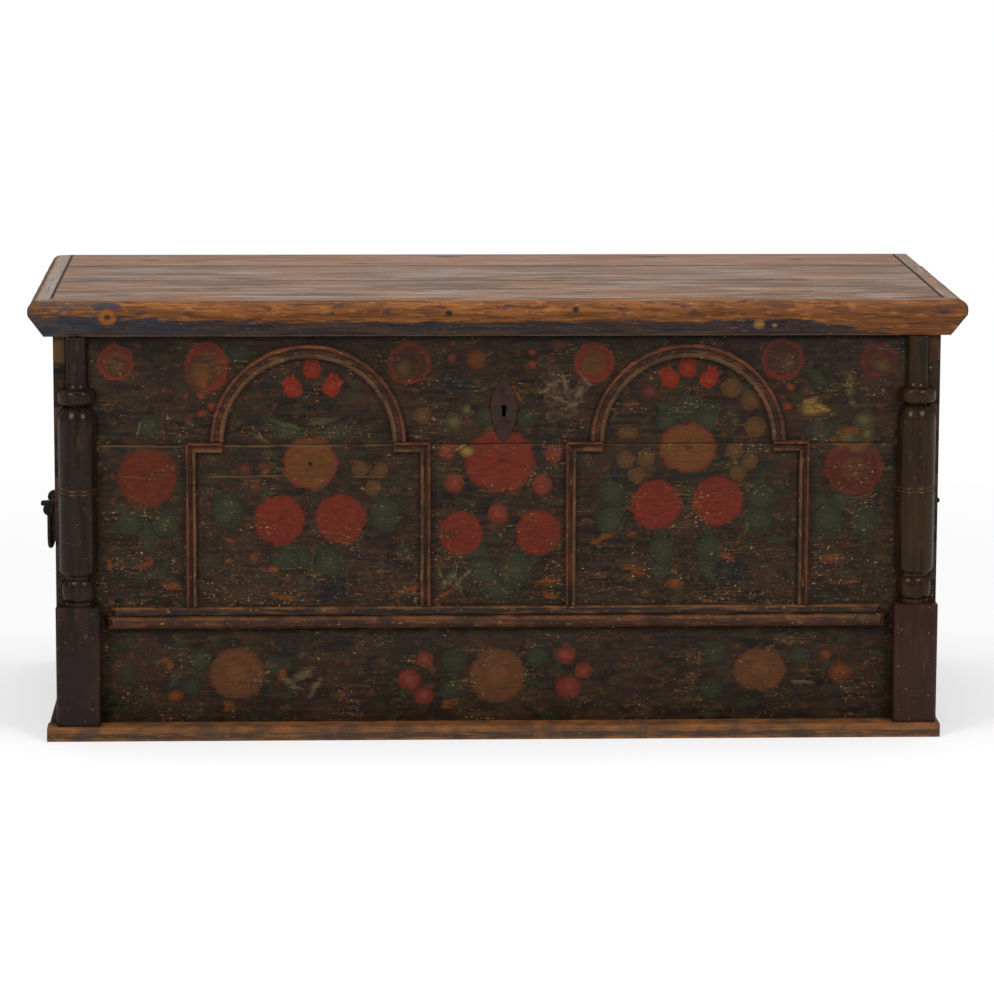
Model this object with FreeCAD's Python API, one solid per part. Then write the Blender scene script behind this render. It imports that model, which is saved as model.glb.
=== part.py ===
"""A painted dovetailed chest with turned half columns, arch mouldings, a hinged lid,
side handles and a lock. Millimetres, front at -Y, +X to the right, +Z up.
The origin lies on the floor, under the middle of the carcase."""
import FreeCAD
import Part
import math
import os

V = FreeCAD.Vector
X_AXIS = V(1, 0, 0)
Y_AXIS = V(0, 1, 0)
Z_AXIS = V(0, 0, 1)

# Cuts run past the surface by this much
overrun = 5.0

# Degrees
full_turn = 360.0
half_turn = 180.0
quarter_turn = 90.0

# Carcase
body_length = 1234.0
body_depth = 540.0
wall_height = 568.0
wall_thick = 24.0
back_thick = 22.0
floor_thick = 18.0
board_gap = 0.6
joint_fit = 0.2

# Heights where one wall board meets the next
front_low_joint = 170.0
front_high_joint = 414.0
side_joint_over_handle = 39.0
back_joint = 302.0

# Dovetails
tail_count = 5
end_pin = 58.0
inner_pin = 38.0
tail_slope_share = 0.17

# Lid
lid_thick = 32.0
lid_clearance = 1.0
lid_rest_gap = 0.5
lid_front_joint = -65.0
lid_back_joint = 118.0
lid_end_gap = 0.8
lid_edge_width = 31.0
lid_edge_flat = 17.0
lid_edge_drop = 20.0
lid_nose_drop = 21.0
lid_foot_width = 11.0
lid_nose_round_share = 0.78
worn_end_length = 152.0
worn_end_depth = 9.0

# Pedestals and half columns
pedestal_width = 62.0
pedestal_proud = 27.0
pedestal_height = 168.0
pedestal_bevel = 3.5
column_inset = 32.0
column_clearance = 0.5
plinth_radius = 21.5
plinth_height = 6.0
bead_radius = 25.0
bead_height = 32.0
bead_root_radius = 20.0
waist_radius = 21.0
waist_height = 5.0
shaft_radius = 27.5
shaft_foot_height = 9.0
shaft_height = 205.0
shoulder_height = 24.0
groove_radius = 15.0
groove_height = 2.0
ring_radius = 27.0
ring_height = 22.6
ring_round = 4.0
flare_height = 10.4
neck_radius = 16.0
score_width = 2.4
score_depth = 1.4
score_levels = [108.0, 113.0]
turn_steps = 2
ring_steps = 1

# Arches, imposts and uprights
arch_place_share = 0.2146
arch_radius = 137.0
arch_spring = 418.0
arch_width = 20.0
arch_proud = 9.0
moulding_shares = [(0, 0), (0, 0.6), (0.12, 1), (0.27, 1), (0.42, 0.4), (0.58, 0.3),
                   (0.72, 0.8), (1, 0.75), (1, 0)]
frame_width = 342.0
frame_moulding = 15.0
impost_inset = 52.0
seat_gap = 0.2

# Mid rail, from the floor up
rail_bottom = 155.0
rail_left_gap = 6.0
rail_right_gap = 8.0
rail_lower_height = 18.0
rail_lower_proud = 18.0
rail_upper_height = 11.5
rail_upper_proud = 10.0
rail_upper_inset = 9.0
rail_edge_share = 0.45
rail_end_slope_share = 0.6

# Base mouldings
base_front_height = 20.0
base_front_proud = 36.0
base_front_bevel = 4.0
base_left_height = 50.0
base_left_proud = 14.0
base_left_foot = 10.0
base_right_height = 26.0
base_right_proud = 5.0
base_right_foot = 18.0
base_lip = 2.0

# Escutcheon, keyhole and lock
lock_x = 7.6
plate_bottom = 416.0
plate_width = 37.0
plate_height = 90.0
plate_thick = 2.0
plate_steps = 4
plate_shares = [(0, 1), (0.66, 0.83), (0.97, 0.66), (0.98, 0.43), (0.6, 0.19), (0.42, 0.09), (0, 0)]
keyhole_centre = 465.0
keyhole_radius = 3.8
keyhole_slot_width = 5.0
keyhole_drop = 13.0
case_width = 116.0
case_bottom = 430.0
case_height = 150.0
case_depth = 20.0
case_sheet = 2.0
bolt_level = 551.5
bolt_height = 12.0
bolt_thick = 5.0
bolt_length = 46.0
bolt_back_gap = 1.0
bolt_fit = 0.4
talon_width = 15.0
talon_depth = 5.0
tail_width = 9.0
tail_inset = 9.0
foot_level = 473.5
foot_height = 11.0
foot_length = 60.0
guide_width = 4.0
guide_inset = 4.0
staple_width = 12.0
staple_thick = 6.0
staple_drop = 46.0
staple_rim = 4.0
staple_eye_width = 9.0
staple_eye_height = 14.0
staple_slot_clear = 2.4
staple_plate_length = 52.0
staple_plate_width = 22.0
staple_plate_gap = 1.5
staple_plate_thick = 2.5

# Lid hinges
hinge_spacing = 800.0
hinge_sheet = 3.0
barrel_radius = 6.0
hinge_pin_radius = 3.0
running_fit = 0.05
barrel_clearance = 0.5
barrel_sides = 16
end_knuckle = 15.0
middle_knuckle = 17.0
knuckle_gap = 0.5
strap_width = 36.0
strap_length = 320.0
strap_tip_width = 16.0
strap_tip_length = 34.0
leaf_length = 112.0
leaf_tip_width = 22.0
notch_clear = 0.6
pin_head_radius = 4.6
pin_head_height = 2.0
pin_head_sides = 8

# Side handles
handle_height = 287.0
handle_reach = 21.0
handle_drop = 60.0
bail_radius = 4.0
bail_half_width = 46.0
bail_corner = 18.0
bail_elbow = 5.0
eye_gap = 0.5
eye_width = 9.0
eye_radius = 9.0
bail_head_radius = 6.2
bail_head_width = 3.0
shank_half = 3.5
spur_reach = 33.0
spur_level = 9.0
spur_root = 4.8
spur_tip = 3.2
spur_round = 1.6
eye_sides = 16
rose_radius = 19.0
rose_thick = 2.5
rose_bevel = 1.2
rose_sides = 20
clench_half = 7.0
clench_thick = 2.5
bail_sides = 12
bail_head_sides = 8
bend_steps = 4
hole_fit = 0.1

# Worked out from the sizes above
half_length = body_length / 2
front_face = -body_depth / 2
back_face = body_depth / 2
front_inner = front_face + wall_thick
back_inner = back_face - back_thick
side_inner = half_length - wall_thick
wall_top = floor_thick + wall_height
lid_bottom = wall_top + lid_rest_gap
lid_top = lid_bottom + lid_thick
edge_bottom = lid_bottom - lid_edge_drop
lid_front = front_face - lid_clearance
lid_half = half_length + lid_clearance
pedestal_bottom = base_front_height
column_bottom = pedestal_bottom + pedestal_height
column_top = edge_bottom - column_clearance
column_x = half_length - column_inset
arch_centre = body_length * arch_place_share
side_joint = handle_height + side_joint_over_handle
rail_left = half_length - pedestal_width - rail_left_gap
rail_right = half_length - pedestal_width - rail_right_gap
rail_middle = rail_bottom + rail_lower_height
rail_top = rail_middle + rail_upper_height
frame_top = arch_spring - seat_gap
tail_height = (wall_height - 2 * end_pin - (tail_count - 1) * inner_pin) / tail_count
hinge_y = back_face + barrel_radius + barrel_clearance
hinge_z = lid_bottom - barrel_radius
eye_centre = bail_half_width + bail_elbow + eye_gap + eye_width / 2
lock_y = front_inner + (case_depth - case_sheet) / 2
bolt_tip = lock_x - staple_thick / 2 - bolt_back_gap
SIDES = {"left": -1, "right": 1}


def box(x0, x1, y0, y1, z0, z1):
    """An upright block between two corners."""
    return Part.makeBox(x1 - x0, y1 - y0, z1 - z0, V(x0, y0, z0))


def rod(radius, start, end):
    """A round bar from one point to another."""
    return Part.makeCylinder(radius, (end - start).Length, start, end - start)


def polygon(points):
    """A flat face inside a closed outline of straight lines."""
    return Part.Face(Part.makePolygon(points + points[:1]))


def edges_face(edges):
    """A flat face inside a closed outline of edges."""
    return Part.Face(Part.Wire(edges))


def line(a, b):
    return Part.LineSegment(a, b).toShape()


def arc(a, middle, b):
    return Part.Arc(a, middle, b).toShape()


def round_points(centre, across, along, start, end, steps):
    """Points on a round stretch of an outline, from one angle to another in degrees.
    across and along are the two half-axes, as vectors from the centre."""
    points = []
    for index in range(steps + 1):
        angle = math.radians(start + (end - start) * index / steps)
        points.append(centre + across * math.cos(angle) + along * math.sin(angle))
    return points


def many_sided(centre, radius, sides, normal, height):
    """A bar with flats all round, its corners on a circle."""
    across = X_AXIS.cross(normal) if abs(normal.x) < abs(normal.y) else Z_AXIS.cross(normal)
    along = normal.cross(across)
    ring = round_points(centre, across * radius, along * radius, 0, full_turn, sides)[:-1]
    return polygon(ring).extrude(normal * height)


def mirror_x(shape):
    """The same shape on the other side of the middle plane."""
    return shape.mirror(V(0, 0, 0), X_AXIS)


def on_side(shape, side):
    """A shape modelled on the right, put on the side that is asked for."""
    return shape if side > 0 else mirror_x(shape)


# Carcase


def pin_spans():
    """Lower and upper level of each dovetail pin from the floor up, with the flare of
    each of its two edges. The first and last pins are square at the wall's ends."""
    flare = wall_thick * tail_slope_share / 2
    spans = []
    level = floor_thick
    for index in range(tail_count + 1):
        first = index == 0
        last = index == tail_count
        height = end_pin if first or last else inner_pin
        spans.append((level, level + height, 0 if first else flare, 0 if last else flare))
        level += height + tail_height
    return spans


def pin_prism(span, y0, y1, grow):
    """One pin of a right-hand side board. It is narrower at the outer face, so the tail
    beside it spreads outward."""
    low, high, low_flare, high_flare = span
    inner = side_inner - grow
    points = [
        V(half_length, y0, low + low_flare - grow),
        V(half_length, y0, high - high_flare + grow),
        V(inner, y0, high + high_flare + grow),
        V(inner, y0, low - low_flare - grow),
    ]
    return polygon(points).extrude(V(0, y1 - y0, 0))


def pins(y0, y1, grow):
    """All the pins of one corner on the right."""
    prisms = [pin_prism(span, y0, y1, grow) for span in pin_spans()]
    return prisms[0].multiFuse(prisms[1:])


def long_wall(y0, y1):
    """A front or back wall in one piece, with tails at both ends."""
    wall = box(-half_length, half_length, y0, y1, floor_thick, wall_top)
    sockets = pins(y0, y1, joint_fit)
    return wall.cut(sockets).cut(mirror_x(sockets))


def side_wall():
    """The right-hand side wall in one piece, with pins at both ends."""
    middle = box(side_inner, half_length, front_inner, back_inner, floor_thick, wall_top)
    front_pins = pins(front_face, front_inner, 0)
    back_pins = pins(back_inner, back_face, 0)
    return middle.multiFuse([front_pins, back_pins]).removeSplitter()


def band(low, high):
    """The space of one board between two joint levels, less half a gap at each joint."""
    bottom = low if low <= floor_thick else low + board_gap / 2
    top = high if high >= wall_top else high - board_gap / 2
    return box(-body_length, body_length, -body_depth, body_depth, bottom, top)


def boards(wall, joints, names):
    """A wall parted into boards at its joints, from the bottom up."""
    levels = [floor_thick] + joints + [wall_top]
    return {name: wall.common(band(levels[i], levels[i + 1])) for i, name in enumerate(names)}


def keyhole(y0, y1):
    """The keyhole as a solid to cut with: a round head over a slot."""
    head = rod(keyhole_radius, V(lock_x, y0, keyhole_centre), V(lock_x, y1, keyhole_centre))
    slot = box(lock_x - keyhole_slot_width / 2, lock_x + keyhole_slot_width / 2, y0, y1,
               keyhole_centre - keyhole_drop, keyhole_centre)
    return head.fuse(slot)


def front_boards():
    wall = long_wall(front_face, front_inner)
    wall = wall.cut(keyhole(front_face - overrun, front_inner + overrun))
    names = ["front_board_bottom", "front_board_middle", "front_board_top"]
    return boards(wall, [front_low_joint, front_high_joint], names)


def back_boards():
    """The back, with a shallow notch in its top edge for each lid strap."""
    wall = long_wall(back_inner, back_face)
    half = strap_width / 2 + notch_clear
    for side in SIDES.values():
        x = side * hinge_spacing / 2
        notch = box(x - half, x + half, back_inner - overrun, back_face + overrun,
                    lid_bottom - hinge_sheet - notch_clear, wall_top + overrun)
        wall = wall.cut(notch)
    return boards(wall, [back_joint], ["back_board_lower", "back_board_upper"])


def side_boards(name, side):
    """A side wall of two boards, with square holes for the shanks of the handle's eyes."""
    wall = side_wall()
    for end in (-1, 1):
        wall = wall.cut(shank_room(side_inner - overrun, half_length + overrun, end))
    names = [name + "_side_lower", name + "_side_upper"]
    return boards(on_side(wall, side), [side_joint], names)


def floor_boards():
    """Three boards side by side that carry the walls."""
    names = ["floor_board_front", "floor_board_middle", "floor_board_back"]
    width = body_depth / len(names)
    parts = {}
    for index, name in enumerate(names):
        y0 = front_face + index * width + (board_gap / 2 if index > 0 else 0)
        y1 = front_face + (index + 1) * width - (board_gap / 2 if index < len(names) - 1 else 0)
        parts[name] = box(-half_length, half_length, y0, y1, 0, floor_thick)
    return parts


# Lid


def lid_boards():
    """Three lengthwise boards."""
    parts = {}
    limits = [lid_front, lid_front_joint, lid_back_joint, back_face]
    names = ["lid_board_front", "lid_board_middle", "lid_board_back"]
    for index, name in enumerate(names):
        y0 = limits[index] + (board_gap / 2 if index > 0 else 0)
        y1 = limits[index + 1] - (board_gap / 2 if index < len(names) - 1 else 0)
        parts[name] = box(-lid_half, lid_half - lid_end_gap, y0, y1, lid_bottom, lid_top)
    return parts


def lid_edge_face(place):
    """The section of the lid's edge: a flat top, a rounded nose and a long bevel below it.
    place turns a distance outward and a level into a point."""
    nose = lid_top - lid_nose_drop
    round_width = lid_edge_width - lid_edge_flat
    round_middle = place(lid_edge_flat + round_width * lid_nose_round_share,
                         lid_top - lid_nose_drop * (1 - lid_nose_round_share))
    corners = [place(0, edge_bottom), place(lid_foot_width, edge_bottom), place(lid_edge_width, nose)]
    top_edge = place(lid_edge_flat, lid_top)
    top_root = place(0, lid_top)
    return edges_face([
        line(corners[0], corners[1]),
        line(corners[1], corners[2]),
        arc(corners[2], round_middle, top_edge),
        line(top_edge, top_root),
        line(top_root, corners[0]),
    ])


def lid_moulding_front():
    """The front edge, mitred at both ends."""
    start = -lid_half - lid_edge_width
    face = lid_edge_face(lambda out, level: V(start, lid_front - out, level))
    bar = face.extrude(V(2 * (lid_half + lid_edge_width), 0, 0))
    reach = lid_edge_width + overrun
    outline = [
        V(-lid_half, lid_front, edge_bottom - overrun),
        V(lid_half, lid_front, edge_bottom - overrun),
        V(lid_half + reach, lid_front - reach, edge_bottom - overrun),
        V(-lid_half - reach, lid_front - reach, edge_bottom - overrun),
    ]
    wedge = polygon(outline).extrude(V(0, 0, lid_thick + lid_edge_drop + 2 * overrun))
    return bar.common(wedge)


def lid_moulding_end(side):
    """An end edge, mitred at the front and square at the back. The right-hand one has
    lost a strip of its nose towards the back."""
    start = lid_front - lid_edge_width
    face = lid_edge_face(lambda out, level: V(lid_half + out, start, level))
    bar = face.extrude(V(0, back_face - start, 0))
    reach = lid_edge_width + overrun
    base = edge_bottom - overrun
    outline = [
        V(lid_half, lid_front + joint_fit, base),
        V(lid_half + reach, lid_front - reach + joint_fit, base),
        V(lid_half + reach, back_face + overrun, base),
        V(lid_half, back_face + overrun, base),
    ]
    bar = bar.common(polygon(outline).extrude(V(0, 0, lid_thick + lid_edge_drop + 2 * overrun)))
    if side > 0:
        nose = lid_half + lid_edge_width
        lost = box(nose - worn_end_depth, nose + overrun, back_face - worn_end_length,
                   back_face + overrun, edge_bottom - overrun, lid_top + overrun)
        bar = bar.cut(lost)
    return on_side(bar, side)


# Columns and pedestals


def pedestal(side):
    """A plain block with eased front edges, flush with the carcase's end."""
    x1 = half_length
    x0 = half_length - pedestal_width
    y = front_face - pedestal_proud
    outline = [
        V(x0, front_face, pedestal_bottom),
        V(x0, y + pedestal_bevel, pedestal_bottom),
        V(x0 + pedestal_bevel, y, pedestal_bottom),
        V(x1 - pedestal_bevel, y, pedestal_bottom),
        V(x1, y + pedestal_bevel, pedestal_bottom),
        V(x1, front_face, pedestal_bottom),
    ]
    return on_side(polygon(outline).extrude(V(0, 0, pedestal_height)), side)


def score(level):
    """A fine turned groove round the shaft, as a ring to cut with."""
    half = score_width / 2
    outer = shaft_radius + half
    points = [
        V(shaft_radius - score_depth, 0, level),
        V(outer, 0, level + half + score_depth),
        V(outer, 0, level - half - score_depth),
    ]
    return polygon(points).revolve(V(0, 0, 0), Z_AXIS, full_turn)


def column_outline():
    """The turned outline from the pedestal up to the lid, on the XZ plane. Levels are
    counted from the foot up, and each swelling or hollow is a quarter or a half ellipse."""
    bead_low = column_bottom + plinth_height
    bead_high = bead_low + bead_height
    shaft_foot = bead_high + waist_height
    shaft_low = shaft_foot + shaft_foot_height
    shaft_high = shaft_low + shaft_height
    shoulder_top = shaft_high + shoulder_height
    ring_low = shoulder_top + groove_height
    ring_high = ring_low + ring_height
    neck_low = ring_high + flare_height

    def turn(radius, level, width, height, start, end, steps=turn_steps):
        return round_points(V(radius, 0, level), X_AXIS * width, Z_AXIS * height, start, end, steps)

    outline = [V(0, 0, column_bottom), V(plinth_radius, 0, column_bottom), V(plinth_radius, 0, bead_low)]
    outline += turn(bead_root_radius, (bead_low + bead_high) / 2, bead_radius - bead_root_radius,
                    bead_height / 2, -quarter_turn, quarter_turn, 2 * turn_steps)
    outline += [V(waist_radius, 0, (bead_high + shaft_foot) / 2)]
    outline += turn(waist_radius, shaft_low, shaft_radius - waist_radius, shaft_foot_height,
                    -quarter_turn, 0)
    outline += turn(groove_radius, shaft_high, shaft_radius - groove_radius, shoulder_height,
                    0, quarter_turn)
    outline += [V(groove_radius, 0, ring_low)]
    outline += turn(ring_radius - ring_round, ring_low + ring_round, ring_round, ring_round,
                    -quarter_turn, 0, ring_steps)
    outline += turn(ring_radius - ring_round, ring_high - ring_round, ring_round, ring_round,
                    0, quarter_turn, ring_steps)
    flare = ring_radius - ring_round - neck_radius
    outline += turn(neck_radius + flare, neck_low, flare, flare_height,
                    -quarter_turn, -half_turn)[1:]
    outline += [V(neck_radius, 0, column_top), V(0, 0, column_top)]
    return outline


def column(side):
    """A column turned in the round and split down its middle, so that it lies on the wall."""
    turned = polygon(column_outline()).revolve(V(0, 0, 0), Z_AXIS, full_turn)
    shaft_low = column_bottom + plinth_height + bead_height + waist_height + shaft_foot_height
    for level in score_levels:
        turned = turned.cut(score(shaft_low + level))
    reach = 2 * shaft_radius
    front_half = box(-reach, reach, -reach, 0, column_bottom - overrun, column_top + overrun)
    half = turned.common(front_half)
    half.translate(V(side * column_x, front_face, 0))
    return half


# Arches and their frames


def moulding_face(width, place):
    """The section shared by arches and frames: a bead at the outer edge, a hollow and a
    raised fillet. place turns a distance from the outer edge and a height off the wall
    into a point."""
    return polygon([place(width * w, arch_proud * h) for w, h in moulding_shares])


def arch(side):
    """A half ring of moulding that springs from the imposts."""
    centre = V(side * arch_centre, front_face, arch_spring)

    def place(inward, off_wall):
        return centre + V(arch_radius - inward, -off_wall, 0)

    return moulding_face(arch_width, place).revolve(centre, -Y_AXIS, half_turn)


def frame_room(outline):
    """The space in front of the wall over an outline drawn on it."""
    depth = arch_proud + overrun
    return polygon(outline).extrude(V(0, -depth, 0))


def impost(side, end):
    """The stretch of frame between its upper corner, where it is mitred, and the foot
    of the arch, which stands on it."""
    outer = side * arch_centre + end * frame_width / 2
    cut = frame_moulding + overrun

    def place(inward, off_wall):
        return V(outer, front_face - off_wall, frame_top - inward)

    bar = moulding_face(frame_moulding, place).extrude(V(-end * impost_inset, 0, 0))
    room = frame_room([
        V(outer, front_face, frame_top),
        V(outer - end * impost_inset, front_face, frame_top),
        V(outer - end * impost_inset, front_face, frame_top - cut),
        V(outer - end * cut, front_face, frame_top - cut),
    ])
    return bar.common(room)


def upright(side, end):
    """A moulding up the edge of an arch's frame, from the rail to its mitred corner."""
    outer = side * arch_centre + end * frame_width / 2
    foot = rail_top + seat_gap
    cut = frame_moulding + overrun
    mitre_top = frame_top - seat_gap

    def place(inward, off_wall):
        return V(outer - end * inward, front_face - off_wall, foot)

    bar = moulding_face(frame_moulding, place).extrude(V(0, 0, frame_top - foot))
    room = frame_room([
        V(outer, front_face, mitre_top),
        V(outer - end * cut, front_face, mitre_top - cut),
        V(outer - end * cut, front_face, foot),
        V(outer, front_face, foot),
    ])
    return bar.common(room)


# Mid rail and base


def slanted_ends(proud, low, high, inset):
    """The space of a strip whose two ends slope back to the wall."""
    back = front_face
    slope = proud * rail_end_slope_share
    start = -rail_left + inset
    stop = rail_right - inset
    outline = [
        V(start, back, low),
        V(start + slope, back - proud, low),
        V(stop - slope, back - proud, low),
        V(stop, back, low),
    ]
    return polygon(outline).extrude(V(0, 0, high - low))


def rail_lower():
    """The prouder strip of the mid rail, with a rounded front."""
    low = rail_bottom
    high = rail_middle
    y = front_face
    edge = rail_lower_proud * rail_edge_share

    def at(off_wall, level):
        return V(-rail_left, y - off_wall, level)

    face = edges_face([
        line(at(0, low), at(edge, low)),
        arc(at(edge, low), at(rail_lower_proud, (low + high) / 2), at(edge, high)),
        line(at(edge, high), at(0, high)),
        line(at(0, high), at(0, low)),
    ])
    bar = face.extrude(V(rail_left + rail_right, 0, 0))
    return bar.common(slanted_ends(rail_lower_proud, low, high, 0))


def rail_upper():
    """The thinner strip above, bevelled along its top edge."""
    low = rail_middle
    high = rail_top
    y = front_face
    root = rail_upper_proud * rail_edge_share
    points = [
        V(-rail_left, y, low),
        V(-rail_left, y - rail_upper_proud, low),
        V(-rail_left, y - rail_upper_proud, (low + high) / 2),
        V(-rail_left, y - root, high),
        V(-rail_left, y, high),
    ]
    bar = polygon(points).extrude(V(rail_left + rail_right, 0, 0))
    return bar.common(slanted_ends(rail_upper_proud, low, high, rail_upper_inset))


def base_front():
    """The front base board, bevelled along its top front edge."""
    x0 = -half_length - base_left_proud
    y = front_face
    flat = base_front_proud - base_front_bevel
    points = [
        V(x0, y, 0),
        V(x0, y - base_front_proud, 0),
        V(x0, y - base_front_proud, base_front_height - base_front_bevel),
        V(x0, y - flat, base_front_height),
        V(x0, y, base_front_height),
    ]
    return polygon(points).extrude(V(body_length + base_left_proud + base_right_proud, 0, 0))


def base_end(side, height, proud, foot):
    """A base board along one end, with a long bevel from its foot to a thin lip."""
    lip = min(base_lip, proud)
    y = front_face
    points = [
        V(half_length, y, 0),
        V(half_length + proud, y, 0),
        V(half_length + proud, y, foot),
        V(half_length + lip, y, height),
        V(half_length, y, height),
    ]
    return on_side(polygon(points).extrude(V(0, body_depth, 0)), side)


# Escutcheon and lock


def escutcheon():
    """An iron plate, leaf-shaped above, rounded below, with the keyhole through it.
    Each half of its outline follows three arcs: the leaf, the body and the foot."""
    y = front_face - plate_thick

    def at(side, place_share):
        width, level = place_share
        return V(lock_x + side * width * plate_width / 2, y, plate_bottom + level * plate_height)

    top, leaf, waist, body, hip, foot_side, foot = plate_shares
    halves = []
    for side in (1, -1):
        half = []
        for start, middle, stop in ((top, leaf, waist), (waist, body, hip), (hip, foot_side, foot)):
            bend = arc(at(side, start), at(side, middle), at(side, stop))
            half += bend.discretize(plate_steps + 1)[:-1]
        halves.append(half)
    outline = halves[0] + [at(1, foot)] + halves[1][:0:-1]
    plate = polygon(outline).extrude(V(0, plate_thick, 0))
    return plate.cut(keyhole(y - overrun, front_face + overrun))


def lock_case():
    """A sheet-iron case open towards the front wall, with a slot for the lid's staple
    in its top and two guides for the bolt inside."""
    half = case_width / 2
    y0 = front_inner
    y1 = front_inner + case_depth
    top = case_bottom + case_height
    shell = box(lock_x - half, lock_x + half, y0, y1, case_bottom, top)
    hollow = box(lock_x - half + case_sheet, lock_x + half - case_sheet, y0 - overrun,
                 y1 - case_sheet, case_bottom + case_sheet, top - case_sheet)
    slot_x = staple_thick / 2 + staple_slot_clear
    slot_y = staple_width / 2 + staple_slot_clear
    slot = box(lock_x - slot_x, lock_x + slot_x, lock_y - slot_y, lock_y + slot_y,
               top - case_sheet - overrun, top + overrun)
    shell = shell.cut(hollow).cut(slot)
    bar_low = bolt_level - bolt_height / 2 - bolt_fit
    bar_high = bolt_level + bolt_height / 2 + bolt_fit
    bar_deep = bolt_thick / 2 + bolt_fit
    for x in guide_places():
        guide = box(x, x + guide_width, y0, y1 - case_sheet,
                    bar_low - guide_width, bar_high + guide_width)
        passage = box(x - overrun, x + guide_width + overrun, lock_y - bar_deep,
                      lock_y + bar_deep, bar_low, bar_high)
        shell = shell.fuse(guide.cut(passage))
    return shell


def guide_places():
    """Where the bolt's two guides start: near its tip and near its other end."""
    near = bolt_tip - guide_inset - guide_width
    far = bolt_tip - bolt_length + guide_inset
    return [far, near]


def lock_bolt():
    """The sliding bolt at rest, drawn back from the staple. A tail runs down from it to a
    foot over the keyhole, and the key's bit turns in the notch under the foot."""
    start = bolt_tip - bolt_length
    y0 = lock_y - bolt_thick / 2
    y1 = lock_y + bolt_thick / 2
    bar = box(start, bolt_tip, y0, y1, bolt_level - bolt_height / 2, bolt_level + bolt_height / 2)
    tail_left = start + guide_inset + guide_width + tail_inset / 2
    tail = box(tail_left, tail_left + tail_width, y0, y1, foot_level, bolt_level)
    foot = box(tail_left, tail_left + foot_length, y0, y1, foot_level, foot_level + foot_height)
    talon_x = lock_x - talon_width / 2
    talon = box(talon_x - talon_width / 2, talon_x + talon_width / 2, y0 - overrun, y1 + overrun,
                foot_level - overrun, foot_level + talon_depth)
    return bar.multiFuse([tail, foot.cut(talon)]).removeSplitter()


def lock_staple():
    """The loop under the lid that drops into the lock. Its eye faces along the bolt."""
    half = staple_width / 2
    foot = lid_bottom - staple_drop + half
    x0 = lock_x - staple_thick / 2

    def at(y, z):
        return V(x0, lock_y + y, z)

    top = lid_bottom - staple_plate_thick / 2
    outline = edges_face([
        line(at(-half, top), at(-half, foot)),
        arc(at(-half, foot), at(0, foot - half), at(half, foot)),
        line(at(half, foot), at(half, top)),
        line(at(half, top), at(-half, top)),
    ])
    loop = outline.extrude(V(staple_thick, 0, 0))
    eye_low = lid_bottom - staple_drop + staple_rim
    eye = box(x0 - overrun, x0 + staple_thick + overrun, lock_y - staple_eye_width / 2,
              lock_y + staple_eye_width / 2, eye_low, eye_low + staple_eye_height)
    plate_front = front_inner + staple_plate_gap
    plate = box(lock_x - staple_plate_length / 2, lock_x + staple_plate_length / 2,
                plate_front, plate_front + staple_plate_width,
                lid_bottom - staple_plate_thick, lid_bottom)
    return plate.fuse(loop.cut(eye)).removeSplitter()


# Lid hinges


def barrel(x0, x1):
    """A stretch of the hinge's barrel with hammered flats, not yet bored."""
    return many_sided(V(x0, hinge_y, hinge_z), barrel_radius, barrel_sides, X_AXIS, x1 - x0)


def barrel_bore(x, reach):
    """The bore of the barrel, to cut with."""
    radius = hinge_pin_radius + running_fit
    return rod(radius, V(x - reach, hinge_y, hinge_z), V(x + reach, hinge_y, hinge_z))


def barrel_half():
    return middle_knuckle / 2 + knuckle_gap + end_knuckle


def hinge_leaf(side):
    """The plate nailed to the outside of the back, with the barrel's two end knuckles."""
    x = side * hinge_spacing / 2
    half = barrel_half()
    tip = leaf_tip_width / 2
    low = hinge_z - leaf_length
    points = [
        V(x - half, back_face, hinge_z),
        V(x - half, back_face, hinge_z - half),
        V(x - tip, back_face, low + tip),
        V(x, back_face, low),
        V(x + tip, back_face, low + tip),
        V(x + half, back_face, hinge_z - half),
        V(x + half, back_face, hinge_z),
    ]
    plate = polygon(points).extrude(V(0, hinge_sheet, 0))
    knuckles = [barrel(x - half, x - half + end_knuckle), barrel(x + half - end_knuckle, x + half)]
    leaf = plate.multiFuse(knuckles)
    gap = middle_knuckle / 2 + knuckle_gap
    room = box(x - gap, x + gap, back_face - overrun, back_face + hinge_sheet + overrun,
               hinge_z - barrel_radius - knuckle_gap, hinge_z + overrun)
    return leaf.cut(room).cut(barrel_bore(x, half + overrun)).removeSplitter()


def hinge_strap(side):
    """The strap under the lid. It narrows to pass between the end knuckles, curls round
    the pin behind the back, and tapers to a point towards the front."""
    x = side * hinge_spacing / 2
    half = strap_width / 2
    knuckle = middle_knuckle / 2
    shoulder = back_face - barrel_clearance
    tip = strap_tip_width / 2
    front = shoulder - strap_length
    z = lid_bottom - hinge_sheet
    points = [
        V(x - knuckle, hinge_y, z),
        V(x - knuckle, shoulder, z),
        V(x - half, shoulder, z),
        V(x - tip, front + strap_tip_length, z),
        V(x, front, z),
        V(x + tip, front + strap_tip_length, z),
        V(x + half, shoulder, z),
        V(x + knuckle, shoulder, z),
        V(x + knuckle, hinge_y, z),
    ]
    plate = polygon(points).extrude(V(0, 0, hinge_sheet))
    strap = plate.fuse(barrel(x - knuckle, x + knuckle))
    return strap.cut(barrel_bore(x, knuckle + overrun)).removeSplitter()


def hinge_pin(side):
    """The pin, riveted over at both ends of the barrel."""
    x = side * hinge_spacing / 2
    half = barrel_half()
    shaft = rod(hinge_pin_radius, V(x - half, hinge_y, hinge_z), V(x + half, hinge_y, hinge_z))
    heads = []
    for end in (-1, 1):
        start = V(x + end * half, hinge_y, hinge_z)
        heads.append(many_sided(start, pin_head_radius, pin_head_sides, X_AXIS * end,
                                pin_head_height))
    return shaft.multiFuse(heads)


# Side handles


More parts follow.
